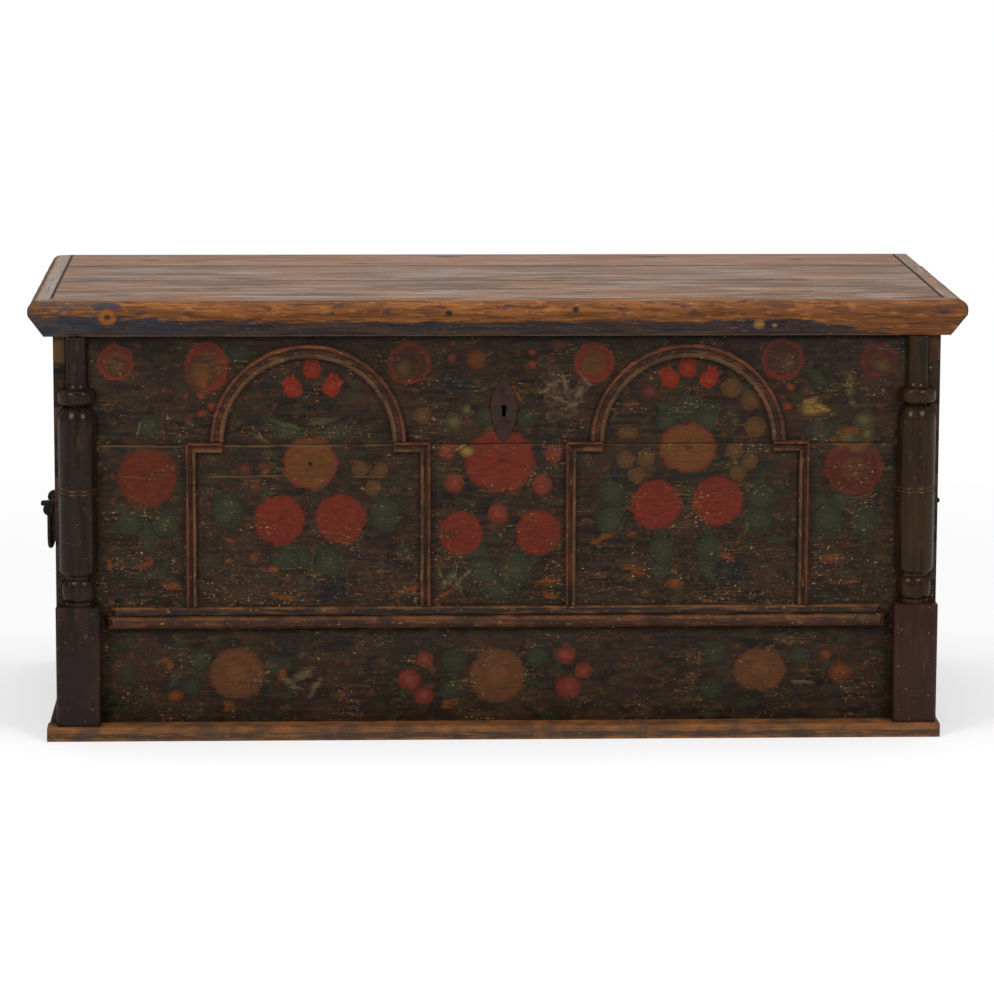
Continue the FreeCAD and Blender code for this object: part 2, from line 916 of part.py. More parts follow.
def shank(x0, x1, end, grow):
    """The square shank of one eye on the right, between two distances from the middle."""
    half = shank_half + grow
    y = end * eye_centre
    return box(x0, x1, y - half, y + half, handle_height - half, handle_height + half)


def shank_room(x0, x1, end):
    """The hole that a shank goes through, to cut with."""
    return shank(x0, x1, end, hole_fit)


def spur(y):
    """The blunt horn over the ring of a front eye, from the rose outward."""
    root_x = half_length + rose_thick
    tip_x = half_length + spur_reach
    level = handle_height + spur_level
    points = [
        V(root_x, y, level - spur_root),
        V(tip_x - spur_round, y, level - spur_tip),
        V(tip_x, y, level - spur_tip + spur_round),
        V(tip_x, y, level + spur_tip - spur_round),
        V(tip_x - spur_round, y, level + spur_tip),
        V(root_x, y, level + spur_root),
    ]
    return polygon(points).extrude(V(0, eye_width, 0))


def eye(side, end):
    """A forged eye for one end of a bail: a flat ring on a square shank that runs through
    the side wall and is clenched over inside. The front one is drawn out to a spur."""
    y = end * eye_centre
    ring_x = half_length + handle_reach
    centre = V(ring_x, y - eye_width / 2, handle_height)
    ring = many_sided(centre, eye_radius, eye_sides, Y_AXIS, eye_width)
    if end < 0:
        ring = ring.fuse(spur(centre.y))
    clench = box(side_inner - clench_thick, side_inner, y - clench_half, y + clench_half,
                 handle_height - clench_half, handle_height + clench_half)
    bore_half = Y_AXIS * eye_width
    middle = V(ring_x, y, handle_height)
    bore = rod(bail_radius + running_fit, middle - bore_half, middle + bore_half)
    bar = shank(side_inner, ring_x, end, 0)
    return on_side(ring.multiFuse([bar, clench]).cut(bore), side)


def rose(side, end):
    """The round plate between an eye and the side wall, bevelled round its edge."""
    start = V(half_length, end * eye_centre, handle_height)
    rim = rose_thick - rose_bevel
    levels = [(0, rose_radius), (rim, rose_radius), (rose_thick, rose_radius - rose_bevel)]
    rings = []
    for out, radius in levels:
        ring = round_points(start + X_AXIS * out, Y_AXIS * radius, Z_AXIS * radius,
                            0, full_turn, rose_sides)
        rings.append(Part.makePolygon(ring[:-1] + ring[:1]))
    disc = Part.makeLoft(rings, True, True)
    hole = shank_room(half_length - overrun, half_length + overrun, end)
    return on_side(disc.cut(hole), side)


def bail_path(x):
    """Half of the bail's line, from its pivot down to the middle of the grip."""
    top = handle_height
    low = handle_height - handle_drop
    elbow = V(x, bail_half_width + bail_elbow, top - bail_elbow)
    corner = V(x, bail_half_width - bail_corner, low + bail_corner)
    points = round_points(elbow, Z_AXIS * bail_elbow, -Y_AXIS * bail_elbow,
                          0, quarter_turn, bend_steps)
    points += round_points(corner, Y_AXIS * bail_corner, -Z_AXIS * bail_corner,
                           0, quarter_turn, bend_steps)
    return points + [V(x, 0, low)]


def bail(side):
    """A bar with hammered flats bent to a bail. Its two ends are round and turn outward
    through the eyes, and each is riveted over."""
    x = half_length + handle_reach
    right = bail_path(x)
    left = [V(x, -point.y, point.z) for point in reversed(right[:-1])]
    path = Part.makePolygon(right + left)
    start = right[0]
    ring = round_points(start, X_AXIS * bail_radius, Z_AXIS * bail_radius,
                        0, full_turn, bail_sides)
    section = Part.makePolygon(ring[:-1] + ring[:1])
    bar = path.makePipeShell([section], True, False, 1)
    ends = []
    length = eye_gap + eye_width + eye_gap
    for sign in (-1, 1):
        pivot = V(x, sign * start.y, handle_height)
        head = pivot + Y_AXIS * sign * length
        ends.append(rod(bail_radius, pivot, head))
        ends.append(many_sided(head, bail_head_radius, bail_head_sides, Y_AXIS * sign,
                               bail_head_width))
    return on_side(bar.multiFuse(ends), side)


def carcase_parts():
    parts = {}
    parts.update(floor_boards())
    parts.update(front_boards())
    parts.update(back_boards())
    for name, side in SIDES.items():
        parts.update(side_boards(name, side))
    return parts


def front_parts():
    """What is applied to the front: columns, arches and their frames, rail and base."""
    parts = {"rail_lower": rail_lower(), "rail_upper": rail_upper(), "base_front": base_front()}
    for name, side in SIDES.items():
        parts[name + "_pedestal"] = pedestal(side)
        parts[name + "_column"] = column(side)
        parts[name + "_arch"] = arch(side)
        for end_name, end in SIDES.items():
            parts[name + "_arch_impost_" + end_name] = impost(side, end)
            parts[name + "_arch_upright_" + end_name] = upright(side, end)
    parts["base_left"] = base_end(-1, base_left_height, base_left_proud, base_left_foot)
    parts["base_right"] = base_end(1, base_right_height, base_right_proud, base_right_foot)
    return parts


def lid_parts():
    parts = lid_boards()
    parts["lid_moulding_front"] = lid_moulding_front()
    for name, side in SIDES.items():
        parts["lid_moulding_" + name] = lid_moulding_end(side)
    return parts


def iron_parts():
    """The lock, the lid's hinges and the side handles."""
    parts = {
        "escutcheon": escutcheon(),
        "lock_case": lock_case(),
        "lock_bolt": lock_bolt(),
        "lock_staple": lock_staple(),
    }
    for name, side in SIDES.items():
        parts[name + "_hinge_leaf"] = hinge_leaf(side)
        parts[name + "_hinge_pin"] = hinge_pin(side)
        parts[name + "_hinge_strap"] = hinge_strap(side)
        parts[name + "_bail"] = bail(side)
        for end_name, end in {"front": -1, "back": 1}.items():
            parts[name + "_eye_" + end_name] = eye(side, end)
            parts[name + "_rose_" + end_name] = rose(side, end)
    return parts


def main():
    os.makedirs("parts", exist_ok=True)
    parts = {}
    for group in (carcase_parts, front_parts, lid_parts, iron_parts):
        parts.update(group())
    for name, shape in parts.items():
        solid = shape.Solids[0] if len(shape.Solids) == 1 else shape
        print(name, len(shape.Solids), shape.isValid(), round(shape.Volume))
        solid.exportStep("parts/" + name + ".step")


main()
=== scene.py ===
import math

import bpy
from mathutils import Matrix, Vector


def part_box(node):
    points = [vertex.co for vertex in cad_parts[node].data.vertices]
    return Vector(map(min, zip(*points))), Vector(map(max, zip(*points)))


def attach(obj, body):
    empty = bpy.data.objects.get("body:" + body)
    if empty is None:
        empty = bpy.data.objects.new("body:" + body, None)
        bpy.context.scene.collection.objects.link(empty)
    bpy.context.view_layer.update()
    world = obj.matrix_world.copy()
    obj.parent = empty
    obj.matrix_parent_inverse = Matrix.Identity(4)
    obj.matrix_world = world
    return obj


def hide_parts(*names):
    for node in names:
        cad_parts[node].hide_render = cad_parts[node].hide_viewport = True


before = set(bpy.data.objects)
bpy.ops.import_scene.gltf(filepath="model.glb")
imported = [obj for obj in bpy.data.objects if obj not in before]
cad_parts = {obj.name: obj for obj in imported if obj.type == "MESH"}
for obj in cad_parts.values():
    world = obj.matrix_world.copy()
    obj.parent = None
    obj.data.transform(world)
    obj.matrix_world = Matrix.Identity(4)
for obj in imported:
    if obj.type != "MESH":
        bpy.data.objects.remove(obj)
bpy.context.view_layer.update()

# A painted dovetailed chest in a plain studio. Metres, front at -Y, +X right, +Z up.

MM = 0.001


def corners(node):
    """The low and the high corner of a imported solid, in millimetres."""
    return [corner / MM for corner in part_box(node)]


# Where the chest's parts are, in millimetres
HALF_LENGTH = corners("front_board_top")[1].x
FRONT_FACE = corners("front_board_top")[0].y
BACK_FACE = corners("back_board_upper")[1].y
LID_TOP = corners("lid_board_front")[1].z
LID_UNDERSIDE = corners("lid_board_back")[0].z
LID_FRONT = corners("lid_board_front")[0].y
LID_HALF = -corners("lid_board_front")[0].x
LID_FRONT_JOINT = corners("lid_board_middle")[0].y
LID_BACK_JOINT = corners("lid_board_middle")[1].y
EDGE_BOTTOM = corners("lid_moulding_front")[0].z
HIGH_JOINT = corners("front_board_middle")[1].z
LOW_JOINT = corners("front_board_bottom")[1].z
CRACK_LEVEL = 369.0
BARE_PIN_LEVEL = 521.0
BASE_TOP = corners("base_front")[1].z
RAIL_LOW = corners("rail_lower")[0].z
RAIL_TOP = corners("rail_upper")[1].z
FRAME_TOP = corners("right_arch_impost_left")[1].z
ARCH_LOW, ARCH_HIGH = corners("right_arch")
ARCH_CENTRE = (ARCH_LOW.x + ARCH_HIGH.x) / 2
ARCH_RADIUS = (ARCH_HIGH.x - ARCH_LOW.x) / 2
ARCH_SPRING = ARCH_LOW.z
FRAME_HALF = corners("right_arch_upright_right")[1].x - ARCH_CENTRE
ARCH_WIDTH = 20.0
FRAME_MOULDING = 15.0

SIDES = {"left": -1, "right": 1}


def linear(text):
    """A colour written as sRGB hex, as linear red, green and blue with full alpha."""
    values = [int(text[place:place + 2], 16) / 255 for place in (1, 3, 5)]
    turned = [v / 12.92 if v <= 0.04045 else ((v + 0.055) / 1.055) ** 2.4 for v in values]
    return (*turned, 1.0)


def add(tree, kind, inputs=(), **settings):
    """Adds a node and gives its first output. The inputs are links or values, in the order of
    the sockets or by their names, and a colour written as hex is turned linear."""
    made = tree.nodes.new("ShaderNode" + kind)
    for key, value in settings.items():
        setattr(made, key, value)
    for key, value in inputs.items() if isinstance(inputs, dict) else enumerate(inputs):
        socket = made.inputs[key]
        if isinstance(value, bpy.types.NodeSocket):
            tree.links.new(value, socket)
        elif isinstance(value, str):
            socket.default_value = linear(value)
        else:
            socket.default_value = value
    return made.outputs[0] if made.outputs else None


def new_finish(name):
    """An empty material with its node tree, and the place on the piece in millimetres."""
    material = bpy.data.materials.new(name)
    material.use_nodes = True
    tree = material.node_tree
    tree.nodes.clear()
    place = add(tree, "TexCoord").node.outputs["Object"]
    return material, tree, add(tree, "VectorMath", {0: place, "Scale": 1 / MM}, operation="SCALE")


def surface(tree, colour, roughness, relief, relief_mm, **settings):
    """Ends a finish: its colour, its roughness and a relief of a real depth."""
    bumps = add(tree, "Bump", {"Height": relief, "Strength": 1.0, "Distance": relief_mm * MM})
    inputs = {"Base Color": colour, "Roughness": roughness, "Normal": bumps}
    for key, value in settings.items():
        inputs[key.replace("_", " ")] = value
    add(tree, "OutputMaterial", [add(tree, "BsdfPrincipled", inputs)])


def lengthwise(along, length, width):
    """The size of marks that run along one axis."""
    size = [width, width, width]
    size[along] = length
    return size


def marks(tree, spot, size, start, full, seed, detail):
    """Marks as long as size along each axis, from 0 to 1. A higher start leaves fewer."""
    placed = add(tree, "Mapping", {"Vector": spot, "Location": (seed, seed, seed),
                                   "Scale": tuple(1 / length for length in size)})
    cloud = add(tree, "TexNoise", {"Vector": placed, "Scale": 1.0, "Detail": detail})
    return add(tree, "MapRange", (cloud, start, full))


def glaze(tree, colour, layer, strength, tint):
    """Lays a tint over a colour, where its layer of marks is."""
    share = add(tree, "Math", (layer, strength), operation="MULTIPLY")
    return add(tree, "MixRGB", (share, colour, tint))


def weather(tree, spot, colour, rows):
    """Lays rows of marks over a colour, each with what marks() asks for, its strength and its
    tint. Gives the colour and all the layers of marks."""
    layers = []
    for *look, strength, tint in rows:
        layers.append(marks(tree, spot, *look))
        colour = glaze(tree, colour, layers[-1], strength, tint)
    return colour, layers


def facing(tree, axis, start, full):
    """From 0 to 1 where the face looks along one axis of the piece. A start below zero that
    falls to a lower full picks the faces that look the other way."""
    normal = add(tree, "TexCoord").node.outputs["Normal"]
    parts = add(tree, "SeparateXYZ", [normal]).node.outputs
    return add(tree, "MapRange", (parts[axis], start, full))


def from_middle(tree, across):
    """How far a place is from the middle of the chest, to either side."""
    return add(tree, "Math", [across], operation="ABSOLUTE")


def near_level(tree, up, level, reach):
    """1 at one level of the front, falling to 0 at reach above and below it."""
    offset = add(tree, "Math", (up, level), operation="SUBTRACT")
    away = add(tree, "Math", [offset], operation="ABSOLUTE")
    return add(tree, "MapRange", (away, reach, reach / 3))


# Painted front

# Each kind of round flower: body, rim, core, where the rim starts, the core's share, cover
ROUND_COLOURS = {
    "red": ("#5f2013", "#531b10", "#501c11", 0.90, 0.05, 0.95),
    "old red": ("#52200f", "#471a0f", "#46190f", 0.90, 0.05, 0.93),
    "worn red": ("#461c12", "#521f14", "#4c2a16", 0.80, 0.35, 0.88),
    "red over ochre": ("#5d2315", "#642617", "#563318", 0.80, 0.55, 0.9),
    "ringed red": ("#3c2114", "#5a2216", "#2e1b12", 0.74, 0.3, 0.9),
    "ochre": ("#593316", "#5c2616", "#3b2a14", 0.86, 0.05, 0.93),
    "bright red": ("#6b200e", "#5f1b0c", "#742914", 0.80, 0.3, 0.95),
    "berry": ("#60271b", "#522014", "#6c3323", 0.75, 0.3, 0.88),
    "dull berry": ("#4b2219", "#3c1c14", "#552e20", 0.7, 0.35, 0.7),
    "dull ochre": ("#4a3219", "#4e2e17", "#543a1f", 0.8, 0.4, 0.75),
    "green": ("#26291b", "#1e1e15", "#2c2f1f", 0.8, 0.4, 0.82),
    "pale green": ("#3b3e22", "#2c3019", "#444527", 0.6, 0.4, 0.65),
    "orange": ("#613113", "#512611", "#6b3a15", 0.7, 0.4, 0.7),
    "yellow": ("#6f5524", "#563f1a", "#7d632e", 0.7, 0.4, 0.8),
    "bone": ("#5c4c38", "#4a3a28", "#6b5b45", 0.6, 0.3, 0.6),
    "worn ochre": ("#49301a", "#3b2416", "#523a20", 0.6, 0.3, 0.8),
    "brown ochre": ("#54321b", "#4d2c19", "#5c3a21", 0.85, 0.3, 0.93),
    "olive": ("#4a4123", "#38331b", "#575030", 0.55, 0.3, 0.65),
    "scroll": ("#3c2d23", "#483728", "#2e241c", 0.62, 0.3, 0.6),
    "night": ("#131416", "#15161a", "#131416", 0.7, 0.3, 0.75),
    "black": ("#17120f", "#17120f", "#120e0c", 0.8, 0.3, 0.9),
    "knot": ("#3f2a1c", "#664930", "#1d120d", 0.55, 0.3, 0.85),
    "plug": ("#8a5526", "#6b4320", "#4a2b18", 0.75, 0.25, 0.95),
    # Empty plug holes: their dark is painted shade, as the holes are not cut
    "plug hole shade": ("#241a16", "#4a3220", "#140f0c", 0.6, 0.4, 0.9),
    "lid blue": ("#2b2f3b", "#33323a", "#2b2f3b", 0.6, 0.3, 0.85),
    "bruise": ("#46332d", "#5a3d28", "#3b2c2a", 0.5, 0.3, 0.6),
    "chip": ("#8c6a38", "#7a5a30", "#957443", 0.6, 0.3, 0.85),
}

# Round flowers by kind: middle across and up from the floor, half width, half height
ROUNDS = {
    "green": [(-418, 108, 18, 18), (-315, 99, 17, 17), (-61, 106, 20, 20), (56, 112, 18, 18),
              (-64, 64, 20, 17), (306, 115, 19, 19), (426, 110, 17, 17), (302, 64, 19, 17),
              (40, 450, 16, 15), (-18, 452, 15, 15), (450, 430, 24, 20), (-486, 440, 16, 18),
              (-430, 70, 16, 14), (232, 262, 23, 22), (297, 264, 23, 21), (158, 346, 21, 20),
              (158, 303, 23, 24), (370, 338, 20, 20), (368, 304, 18, 18), (463, 303, 24, 26),
              (514, 303, 22, 26), (482, 333, 20, 14), (-378, 320, 24, 30), (-158, 314, 24, 28),
              (-298, 250, 22, 18), (-234, 246, 24, 22), (-22, 232, 26, 24), (22, 236, 26, 26),
              (0, 206, 26, 14), (-514, 303, 20, 20), (-464, 300, 20, 20), (263, 466, 19, 17),
              (236, 446, 18, 16), (293, 448, 20, 16), (-360, 540, 22, 14), (-282, 552, 16, 12)],
    "night": [(-233, 206, 24, 18), (328, 232, 26, 20), (175, 375, 20, 20), (-60, 500, 24, 18)],
    "red over ochre": [(-405, 523, 31, 36), (-531, 529, 25, 26), (133, 527, 29, 29)],
    "ringed red": [(-124, 527, 31, 31), (396, 532, 30, 30)],
    "worn red": [(531, 531, 26, 26), (498, 378, 42, 38)],
    "old red": [(-488, 368, 43, 42)],
    "worn ochre": [(-528, 523, 16, 14), (-413, 514, 23, 25), (536, 523, 19, 14), (503, 408, 22, 12),
                   (-132, 520, 15, 18), (403, 526, 18, 15)],
    "red": [(-305, 307, 36, 36), (-220, 308, 36, 36), (221, 327, 36, 36), (307, 332, 36, 36),
            (-52, 287, 32, 32), (57, 287, 33, 33), (3, 389, 50, 46)],
    "ochre": [(-262, 387, 39, 38), (265, 407, 40, 36)],
    "brown ochre": [(0, 84, 40, 40), (-366, 88, 39, 37), (369, 90, 38, 31)],
    "olive": [(491, 505, 8, 7), (491, 487, 7, 9), (494, 470, 6, 7), (511, 446, 15, 12),
              (487, 421, 19, 13), (516, 425, 12, 12), (-62, 445, 14, 12), (-44, 462, 9, 9)],
    "scroll": [(86, 494, 13, 13), (106, 479, 12, 13), (77, 514, 9, 10), (73, 477, 11, 9),
               (97, 459, 14, 9), (77, 452, 12, 8), (118, 496, 9, 11), (64, 530, 11, 9)],
    "berry": [(-413, 482, 7, 6), (-398, 468, 7, 6), (-412, 457, 7, 6), (-65, 535, 6, 7),
              (-64, 554, 5, 4), (47, 543, 7, 5), (47, 525, 7, 7), (408, 492, 7, 6),
              (403, 465, 7, 6), (-71, 404, 13, 13), (-61, 358, 14, 14), (77, 400, 13, 13),
              (61, 355, 15, 15), (0, 315, 15, 15), (-102, 107, 13, 12), (-124, 79, 17, 16),
              (-104, 55, 15, 13), (96, 113, 14, 13), (121, 90, 13, 12), (100, 67, 19, 17)],
    "dull berry": [(-435, 482, 7, 6), (-431, 447, 7, 6), (430, 486, 6, 6), (396, 479, 6, 5),
                   (420, 461, 7, 7), (75, 531, 6, 7), (83, 553, 14, 9), (-353, 379, 11, 11),
                   (-325, 380, 11, 11), (-338, 355, 11, 11), (210, 486, 13, 12), (184, 469, 13, 9)],
    "dull ochre": [(178, 391, 13, 13), (207, 393, 13, 13), (193, 369, 12, 12), (330, 403, 12, 12),
                   (352, 389, 12, 12), (335, 371, 12, 12), (359, 437, 15, 15), (352, 474, 14, 14),
                   (325, 492, 15, 14), (181, 429, 14, 9), (-192, 380, 12, 11), (-164, 376, 11, 11),
                   (-175, 352, 12, 11), (-107, 454, 13, 12)],
    "orange": [(-31, 533, 14, 14), (483, 87, 17, 15), (463, 112, 9, 7), (-302, 87, 8, 11),
               (-220, 59, 7, 6), (-452, 58, 12, 9), (-314, 237, 9, 7), (248, 215, 15, 6)],
    "yellow": [(-43, 403, 11, 8), (440, 462, 18, 11)],
    "black": [(-33, 465, 6, 5), (-262, 387, 3, 3)],
}

# Leaves by kind: middle across and up, half length, half width, turn in degrees
LEAVES = {
    "green": [(-295, 431, 34, 13, 160), (-228, 430, 34, 13, 20), (243, 458, 30, 12, 150),
              (287, 458, 30, 13, 25), (264, 468, 24, 12, 90), (161, 349, 30, 20, 105),
              (156, 310, 28, 20, 60), (231, 268, 30, 18, 100), (228, 238, 26, 15, 70),
              (292, 268, 30, 18, 80), (296, 236, 26, 15, 110), (364, 344, 28, 18, 80),
              (368, 312, 24, 17, 120), (-380, 327, 30, 19, 95), (-163, 323, 30, 19, 85),
              (-285, 260, 34, 18, 150), (-240, 254, 30, 16, 40), (-259, 231, 40, 5, 90),
              (-512, 306, 30, 17, 130), (-468, 302, 30, 17, 50), (-490, 284, 26, 13, 90),
              (459, 320, 28, 17, 110), (510, 310, 28, 17, 75), (-20, 242, 40, 20, 110),
              (22, 238, 38, 20, 65), (0, 211, 28, 14, 90), (-452, 83, 20, 10, 60),
              (345, 492, 16, 8, 30), (445, 506, 22, 10, 140)],
    "pale green": [(-291, 440, 26, 5, 165), (-243, 446, 28, 5, 10), (-330, 422, 20, 4, 150),
                   (300, 446, 22, 7, 60), (-72, 218, 26, 5, 60), (-55, 214, 22, 4, 115),
                   (352, 302, 22, 7, 70)],
    "orange": [(-300, 198, 24, 5, 175), (-122, 209, 20, 5, 12), (147, 280, 20, 6, 25),
               (191, 234, 20, 9, 160), (74, 219, 24, 6, 3), (72, 198, 16, 5, 170),
               (26, 484, 17, 4, 120), (467, 250, 14, 9, 20), (494, 216, 18, 4, 175),
               (-490, 245, 14, 7, 20), (-456, 215, 18, 7, 170), (-542, 244, 13, 6, 100),
               (-374, 279, 9, 4, 0), (-378, 250, 7, 5, 30), (-342, 254, 8, 6, 150),
               (188, 286, 10, 4, 10), (321, 252, 13, 7, 150), (-78, 198, 20, 5, 30),
               (-462, 104, 14, 7, 130)],
    "bone": [(70, 493, 20, 5, 35), (92, 498, 22, 5, 100), (113, 486, 20, 5, 60),
             (86, 476, 24, 5, 160), (104, 468, 20, 4, 20), (120, 504, 14, 4, 130),
             (-62, 228, 22, 3, 65), (-78, 224, 18, 3, 110), (-48, 224, 20, 3, 50),
             (-274, 86, 22, 10, 30), (-288, 73, 18, 7, 150), (-256, 70, 20, 6, 60),
             (428, 73, 18, 4, 175), (487, 496, 12, 3, 15), (-500, 434, 12, 3, 80)],
    "ochre": [(-67, 45, 16, 7, 20), (-378, 43, 11, 8, 140), (490, 430, 24, 5, 10),
              (480, 414, 20, 5, 165), (505, 408, 18, 4, 30), (-410, 506, 22, 8, 90)],
    "yellow": [(432, 472, 16, 6, 20), (452, 462, 14, 6, 165), (-52, 410, 10, 3, 30)],
}

# Tulips: middle across and up, turn of their axis from upright in degrees
TULIPS = [(-259, 518, 0), (-285, 492, -30), (-233, 494, 34), (264, 519, 0), (240, 504, -34),
          (293, 504, 32)]
TULIP_CUP = 13
TULIP_PETAL_LENGTH = 12
TULIP_PETAL_WIDTH = 6
TULIP_SPREAD = 27
TULIP_RISE = 0.8

# How much darker thin paint and lighter thick paint is
THIN_PAINT = (0.7, 0.7, 0.7, 1.0)
THICK_PAINT = (1.25, 1.25, 1.25, 1.0)

GROUND_DARK = "#100d0a"
GROUND_BROWN = "#2b1c13"
SCRATCH_OCHRE = "#79522b"
SCRATCH_BONE = "#938161"
BARE_EDGE = "#5e4429"
DARK_GAP = "#2b1c14"

# Glazes of the dark ground: size, start, full, seed, detail, strength and tint
GROUND_GLAZES = (((55, 1, 7), 0.42, 0.72, 9.0, 5.0, 0.75, "#3c2819"),
                 ((85, 1, 85), 0.5, 0.66, 21.0, 3.0, 0.5, "#161b14"),
                 ((24, 1, 17), 0.54, 0.62, 25.0, 4.0, 0.75, "#29291a"),
                 ((17, 1, 11), 0.58, 0.65, 28.0, 4.0, 0.75, "#472c19"),
                 ((34, 1, 24), 0.56, 0.64, 30.0, 3.0, 0.75, "#14120f"))

# Lines across the front: level, reach, how much wood shows along them, how dark they are
FRONT_LINES = ((HIGH_JOINT, 2.8, 0.75, 0.6), (CRACK_LEVEL, 1.8, 0.75, 0.3),
               (LOW_JOINT, 2.4, 0.6, 0.6))

# Where wear and painted shade start and where they are full: up the middle board, the painted
# shade of the lid's overhang under the lid, and across the front for the wood that shows along the
# lines
WEAR_LEVELS = (330.0, 190.0)
LID_SHADE_LEVELS = (500.0, 566.0)
RUBBED_ACROSS = (60.0, -300.0)
LINE_WANDER = 3.0
CORNER_ACROSS = -597.0
SPARE_REACH = 6.0


def on_board(up, half_height, limits):
    """Whether a flower shows on the board between two levels."""
    return limits[0] - SPARE_REACH < up + half_height and up - half_height < limits[1] + SPARE_REACH


def round_reach(tree, spot, place, up_axis=2):
    """How far a spot is from the middle of a round: 1 on its outline."""
    across, up, half_width, half_height = place
    scale, shift = [0.0, 0.0, 0.0], [0.0, 0.0, 0.0]
    scale[0], shift[0] = 1 / half_width, -across / half_width
    scale[up_axis], shift[up_axis] = 1 / half_height, -up / half_height
    shares = add(tree, "VectorMath", (spot, scale, shift), operation="MULTIPLY_ADD")
    return add(tree, "VectorMath", [shares], operation="LENGTH").node.outputs["Value"]


def leaf_reach(tree, spot, place):
    """How far a spot is from the middle of a leaf pointed at both ends: 1 on its outline."""
    across, up, half_length, half_width, turn = place
    lie = math.radians(turn)
    ways = ((math.cos(lie) / half_length, 0, math.sin(lie) / half_length),
            (-math.sin(lie) / half_width, 0, math.cos(lie) / half_width))
    away = add(tree, "VectorMath", (spot, (across, 0, up)), operation="SUBTRACT")
    along, aside = [add(tree, "VectorMath", (away, way),
                        operation="DOT_PRODUCT").node.outputs["Value"] for way in ways]
    aside = add(tree, "Math", [aside], operation="ABSOLUTE")
    return add(tree, "Math", (along, along, aside), operation="MULTIPLY_ADD")


def nearest_reach(tree, reaches):
    """Joins the shapes of one kind, and gives None where there are none."""
    nearest = None
    for reach in reaches:
        if nearest is not None:
            reach = add(tree, "Math", (nearest, reach), operation="MINIMUM")
        nearest = reach
    return nearest


def lay_kind(tree, paint, reach, tone, kind, ragged=None):
    """Paints all shapes of one kind over what is there and returns the paint."""
    if reach is None:
        return paint
    if ragged is not None:
        reach = add(tree, "Math", (reach, ragged), operation="ADD")
    body, rim, core, rim_start, core_share, cover = ROUND_COLOURS[kind]
    filled = add(tree, "MapRange", (reach, core_share, core_share + 0.12))
    colour = add(tree, "MixRGB", (filled, core, body))
    edged = add(tree, "MapRange", (reach, rim_start, rim_start + 0.07))
    colour = add(tree, "MixRGB", (edged, colour, rim))
    colour = add(tree, "MixRGB", (1.0, colour, tone), blend_type="MULTIPLY")
    inside = add(tree, "MapRange", (reach, 1.03, 0.96, 0.0, cover))
    return add(tree, "MixRGB", (inside, paint, colour))


def lay_rounds(tree, paint, spot, tone, places, kind, up_axis=2, frayed=None):
    """Paints the rounds of one kind, if there are any, and returns the paint."""
    reach = nearest_reach(tree, (round_reach(tree, spot, place, up_axis) for place in places))
    return lay_kind(tree, paint, reach, tone, kind, frayed)


def lay_leaves(tree, paint, spot, tone, ragged, places, kind):
    """Paints the leaves or strokes of one kind, with ragged edges, and returns the paint."""
    reach = nearest_reach(tree, (leaf_reach(tree, spot, place) for place in places))
    return lay_kind(tree, paint, reach, tone, kind, ragged)


def tulip_petals(tulip):
    """The places of a tulip's three petals, which fan out of its cup."""
    across, up, lean = tulip
    petals = []
    for fan in (-TULIP_SPREAD, TULIP_SPREAD, 0):
        turn = math.radians(lean + fan)
        petals.append((across + math.sin(turn) * TULIP_PETAL_LENGTH * TULIP_RISE,
                       up + math.cos(turn) * TULIP_PETAL_LENGTH * TULIP_RISE,
                       TULIP_PETAL_LENGTH, TULIP_PETAL_WIDTH, 90 - lean - fan))
    return petals


def lay_flowers(tree, paint, spot, tone, ragged, limits):
    """Paints every leaf and flower that shows on the board between two levels."""
    leaves = {kind: [place for place in places if on_board(place[1], place[2], limits)]
              for kind, places in LEAVES.items()}
    under = ("green", "pale green")
    torn = add(tree, "Math", (ragged, 2.6), operation="MULTIPLY")
    frayed = add(tree, "Math", (ragged, 0.3), operation="MULTIPLY")
    for kind in under:
        paint = lay_leaves(tree, paint, spot, tone, ragged, leaves[kind], kind)
    for kind, places in ROUNDS.items():
        shown = [place for place in places if on_board(place[1], place[3], limits)]
        paint = lay_rounds(tree, paint, spot, tone, shown, kind, frayed=frayed)
    tulips = [tulip for tulip in TULIPS if on_board(tulip[1], 2 * TULIP_PETAL_LENGTH, limits)]
    petals = [petal for tulip in tulips for petal in tulip_petals(tulip)]
    cups = [(across, up, TULIP_CUP, TULIP_CUP) for across, up, lean in tulips]
    paint = lay_leaves(tree, paint, spot, tone, ragged, petals, "bright red")
    paint = lay_rounds(tree, paint, spot, tone, cups, "bright red")
    for kind, places in leaves.items():
        if kind not in under:
            paint = lay_leaves(tree, paint, spot, tone, torn, places, kind)
    return paint


def old_pine(tree, spot, along, light, dark):
    """Planed softwood, its grain running along one axis: soft bands and fine dark fibres."""
    bands = marks(tree, spot, lengthwise(along, 420.0, 26.0), 0.3, 0.7, 3.0, 5.0)
    fibres = marks(tree, spot, lengthwise(along, 90.0, 2.2), 0.35, 0.75, 11.0, 4.0)
    grain = add(tree, "Math", (bands, 0.6, fibres), operation="MULTIPLY_ADD")
    return glaze(tree, light, grain, 0.62, dark), fibres


